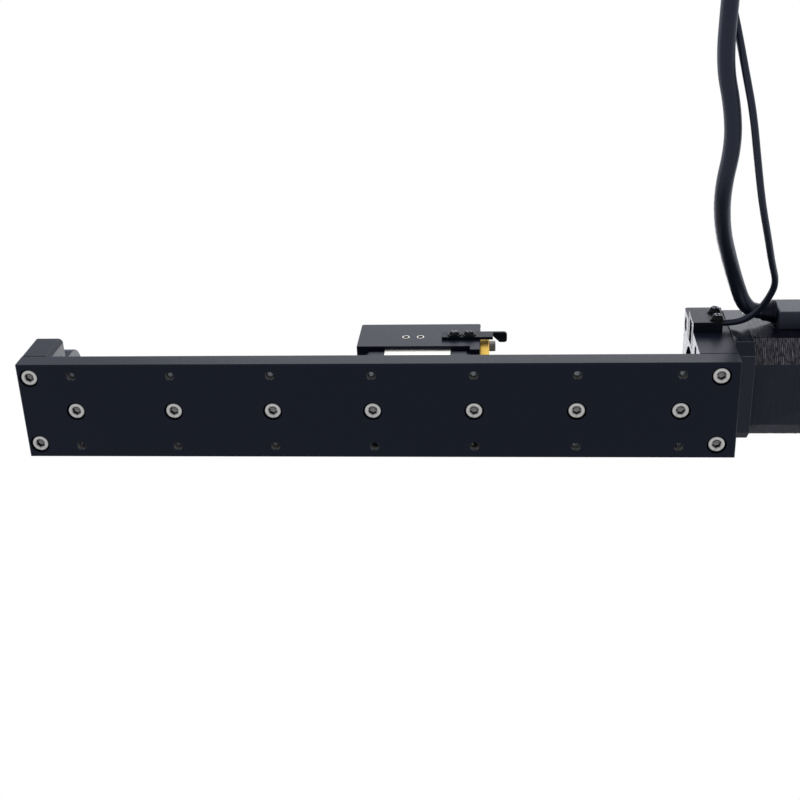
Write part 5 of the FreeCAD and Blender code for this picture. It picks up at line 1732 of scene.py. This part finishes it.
def fasteners() -> list[Fasteners]:
    """Every group of screws.

    Returns:
        The groups, ready to build.
    """
    up, down, right, left, back = (0, 0, 1), (0, 0, -1), (1, 0, 0), (-1, 0, 0), (0, 1, 0)
    bright, shade_painted, black, glossy = "stainless_steel", "satin_stainless_steel", "black_steel", "glossy_black_steel"
    base, carriage = Body.BASE, Body.CARRIAGE
    plate = face_of("rail_screws", 2) - PLATE_RISE
    sensor = face_of("sensor_screws", 1) - SENSOR_RISE
    flag = face_of("flag_screws", 1) + FLAG_SINK
    guide = face_of("guide_block_screws", 2, high=True)
    nut = face_of("nut_screws", 0, high=True)
    nut_angles = [math.pi / 4 + i * math.pi / 2 for i in range(4)]
    return [
        # The plate's screws take the darker copy of stainless steel, which is painted shade.
        Fasteners("rail_socket_screws", "rail_screws", base, bright, PLATE_SCREW, 10.0, up,
                  [(x, 0.0, plate) for x in COLUMNS], shade_painted),
        Fasteners("end_block_socket_screws", "end_block_screws", base, bright, PLATE_SCREW, 12.0, up,
                  [(-137.2, y, plate) for y in CORNER_ROWS], shade_painted),
        Fasteners("mount_socket_screws", "motor_mount_screws", base, bright, PLATE_SCREW, 12.0, up,
                  [(134.7, y, plate) for y in CORNER_ROWS], shade_painted),
        Fasteners("motor_face_socket_screws", "motor_face_screws", base, bright, SMALL_SCREW, 16.0, right,
                  corner_seats(face_of("motor_face_screws", 0))),
        Fasteners("motor_tie_socket_screws", "motor_tie_screws", base, bright, SMALL_SCREW, 31.2, left,
                  corner_seats(face_of("motor_tie_screws", 0, high=True))),
        Fasteners("sensor_pan_screws", "sensor_screws", base, black, SENSOR_SCREW, 8.0, back,
                  [(136.9, sensor, z) for z in (33.05, 41.05)], glossy),
        Fasteners("guide_socket_screws", "guide_block_screws", carriage, bright, SMALL_SCREW, 16.0, down,
                  [(CARRIAGE_X + x, y, guide) for x in (-10.0, 10.0) for y in (-12.5, 12.5)]),
        Fasteners("nut_socket_screws", "nut_screws", carriage, bright, NUT_SCREW, 10.0, left,
                  [(nut, NUT_CIRCLE * math.cos(a), AXIS_Z + NUT_CIRCLE * math.sin(a)) for a in nut_angles]),
        Fasteners("flag_pan_screws", "flag_screws", carriage, black, FLAG_SCREW, 8.0, back,
                  [(x, flag, SIDE_HOLE_Z) for x in (31.4, 37.4)], glossy),
    ]


def hole_rings() -> list[HoleRings]:
    """The bright rims of the carriage's side holes and the first threads of the plate's holes.

    Returns:
        Both groups, ready to build.
    """
    side = face_of("carriage_body", 1)
    rim = [(0.1, 1.12), (-0.12, 1.12), (-0.16, 1.18), (-0.16, 1.42), (-0.12, 1.5), (0.1, 1.5)]
    thread = [(0.35 + 0.25 * i, (1.66, 1.36)[i % 2]) for i in range(11)]
    return [
        HoleRings("carriage_hole_rims", "stainless_steel", "stainless_steel", Body.CARRIAGE, (0, 1, 0),
                  [(x, side, SIDE_HOLE_Z) for x in (11.4, 17.4)], rim),
        HoleRings("plate_hole_threads", "black_anodised", "dark_threads", Body.BASE, (0, 0, 1),
                  [(x, y, 0.0) for x in COLUMNS for y in HOLE_ROWS],
                  [*thread, (thread[-1][0], 1.75), (thread[0][0], 1.75)]),
    ]


def softened_blocks() -> list[SoftenedBlock]:
    """The pieces whose edges are broken.

    Returns:
        The pieces, ready to build.
    """
    base, carriage, pale = Body.BASE, Body.CARRIAGE, "pale_black_plastic"
    middle = face_of("base_plate", 2, high=True) / 2
    holes = [Spot((x, y, middle), (1.7, 1.7, 4.6), 2, 0.1) for x in COLUMNS for y in HOLE_ROWS]
    return [
        SoftenedBlock("base_plate", "black_anodised", base, spots=holes),
        SoftenedBlock("end_block", "black_anodised", base),
        SoftenedBlock("motor_mount", "black_anodised", base),
        # The sensor takes the darker black plastic, which paints the shade on its underside.
        SoftenedBlock("sensor_body", "black_plastic", base),
        # Bare metal on the caps' broken edges also paints a bright highlight line.
        SoftenedBlock("motor_front_cap", "motor_black", base, limit=40.0, shine=0.3),
        SoftenedBlock("motor_rear_cap", "motor_black", base, limit=40.0, shine=0.3),
        # The box and guide caps take the lighter copy of black plastic, which is painted light.
        SoftenedBlock("terminal_box", "black_plastic", base, finish=pale),
        SoftenedBlock("carriage_body", "black_anodised", carriage),
        SoftenedBlock("guide_end_cap_1", "black_plastic", carriage, finish=pale),
        SoftenedBlock("guide_end_cap_2", "black_plastic", carriage, finish=pale),
        SoftenedBlock("lead_nut", "nut_brass", carriage, 0.25),
        SoftenedBlock("flag_bracket", "black_steel", carriage, 0.12),
    ]


VARIANTS: dict[str, str] = {"flag_washers": "glossy_black_steel", "sensor_washers": "glossy_black_steel"}


def dress_solids() -> None:
    """Gives every CAD solid the finish of its slot, or its own variant of it."""
    for row in frame["record"]["subparts"]:
        solid = frame["nodes"][row["node"]]
        solid.data.materials.clear()
        solid.data.materials.append(FINISHES[VARIANTS.get(row["node"], row["material_slot"])].material())


def main() -> None:
    """Builds the studio, the leads and the detailed pieces in order."""
    logging.basicConfig(level=logging.INFO, format="%(name)s: %(message)s")
    Studio().build()
    dress_solids()
    for lead in leads():
        lead.build()
    Gland().build()
    for group in (*hole_rings(), *fasteners()):
        group.build()
    ThreadedScrew().build()
    LaminationStack().build()
    for block in softened_blocks():
        block.build()


if __name__ == "__main__":
    main()
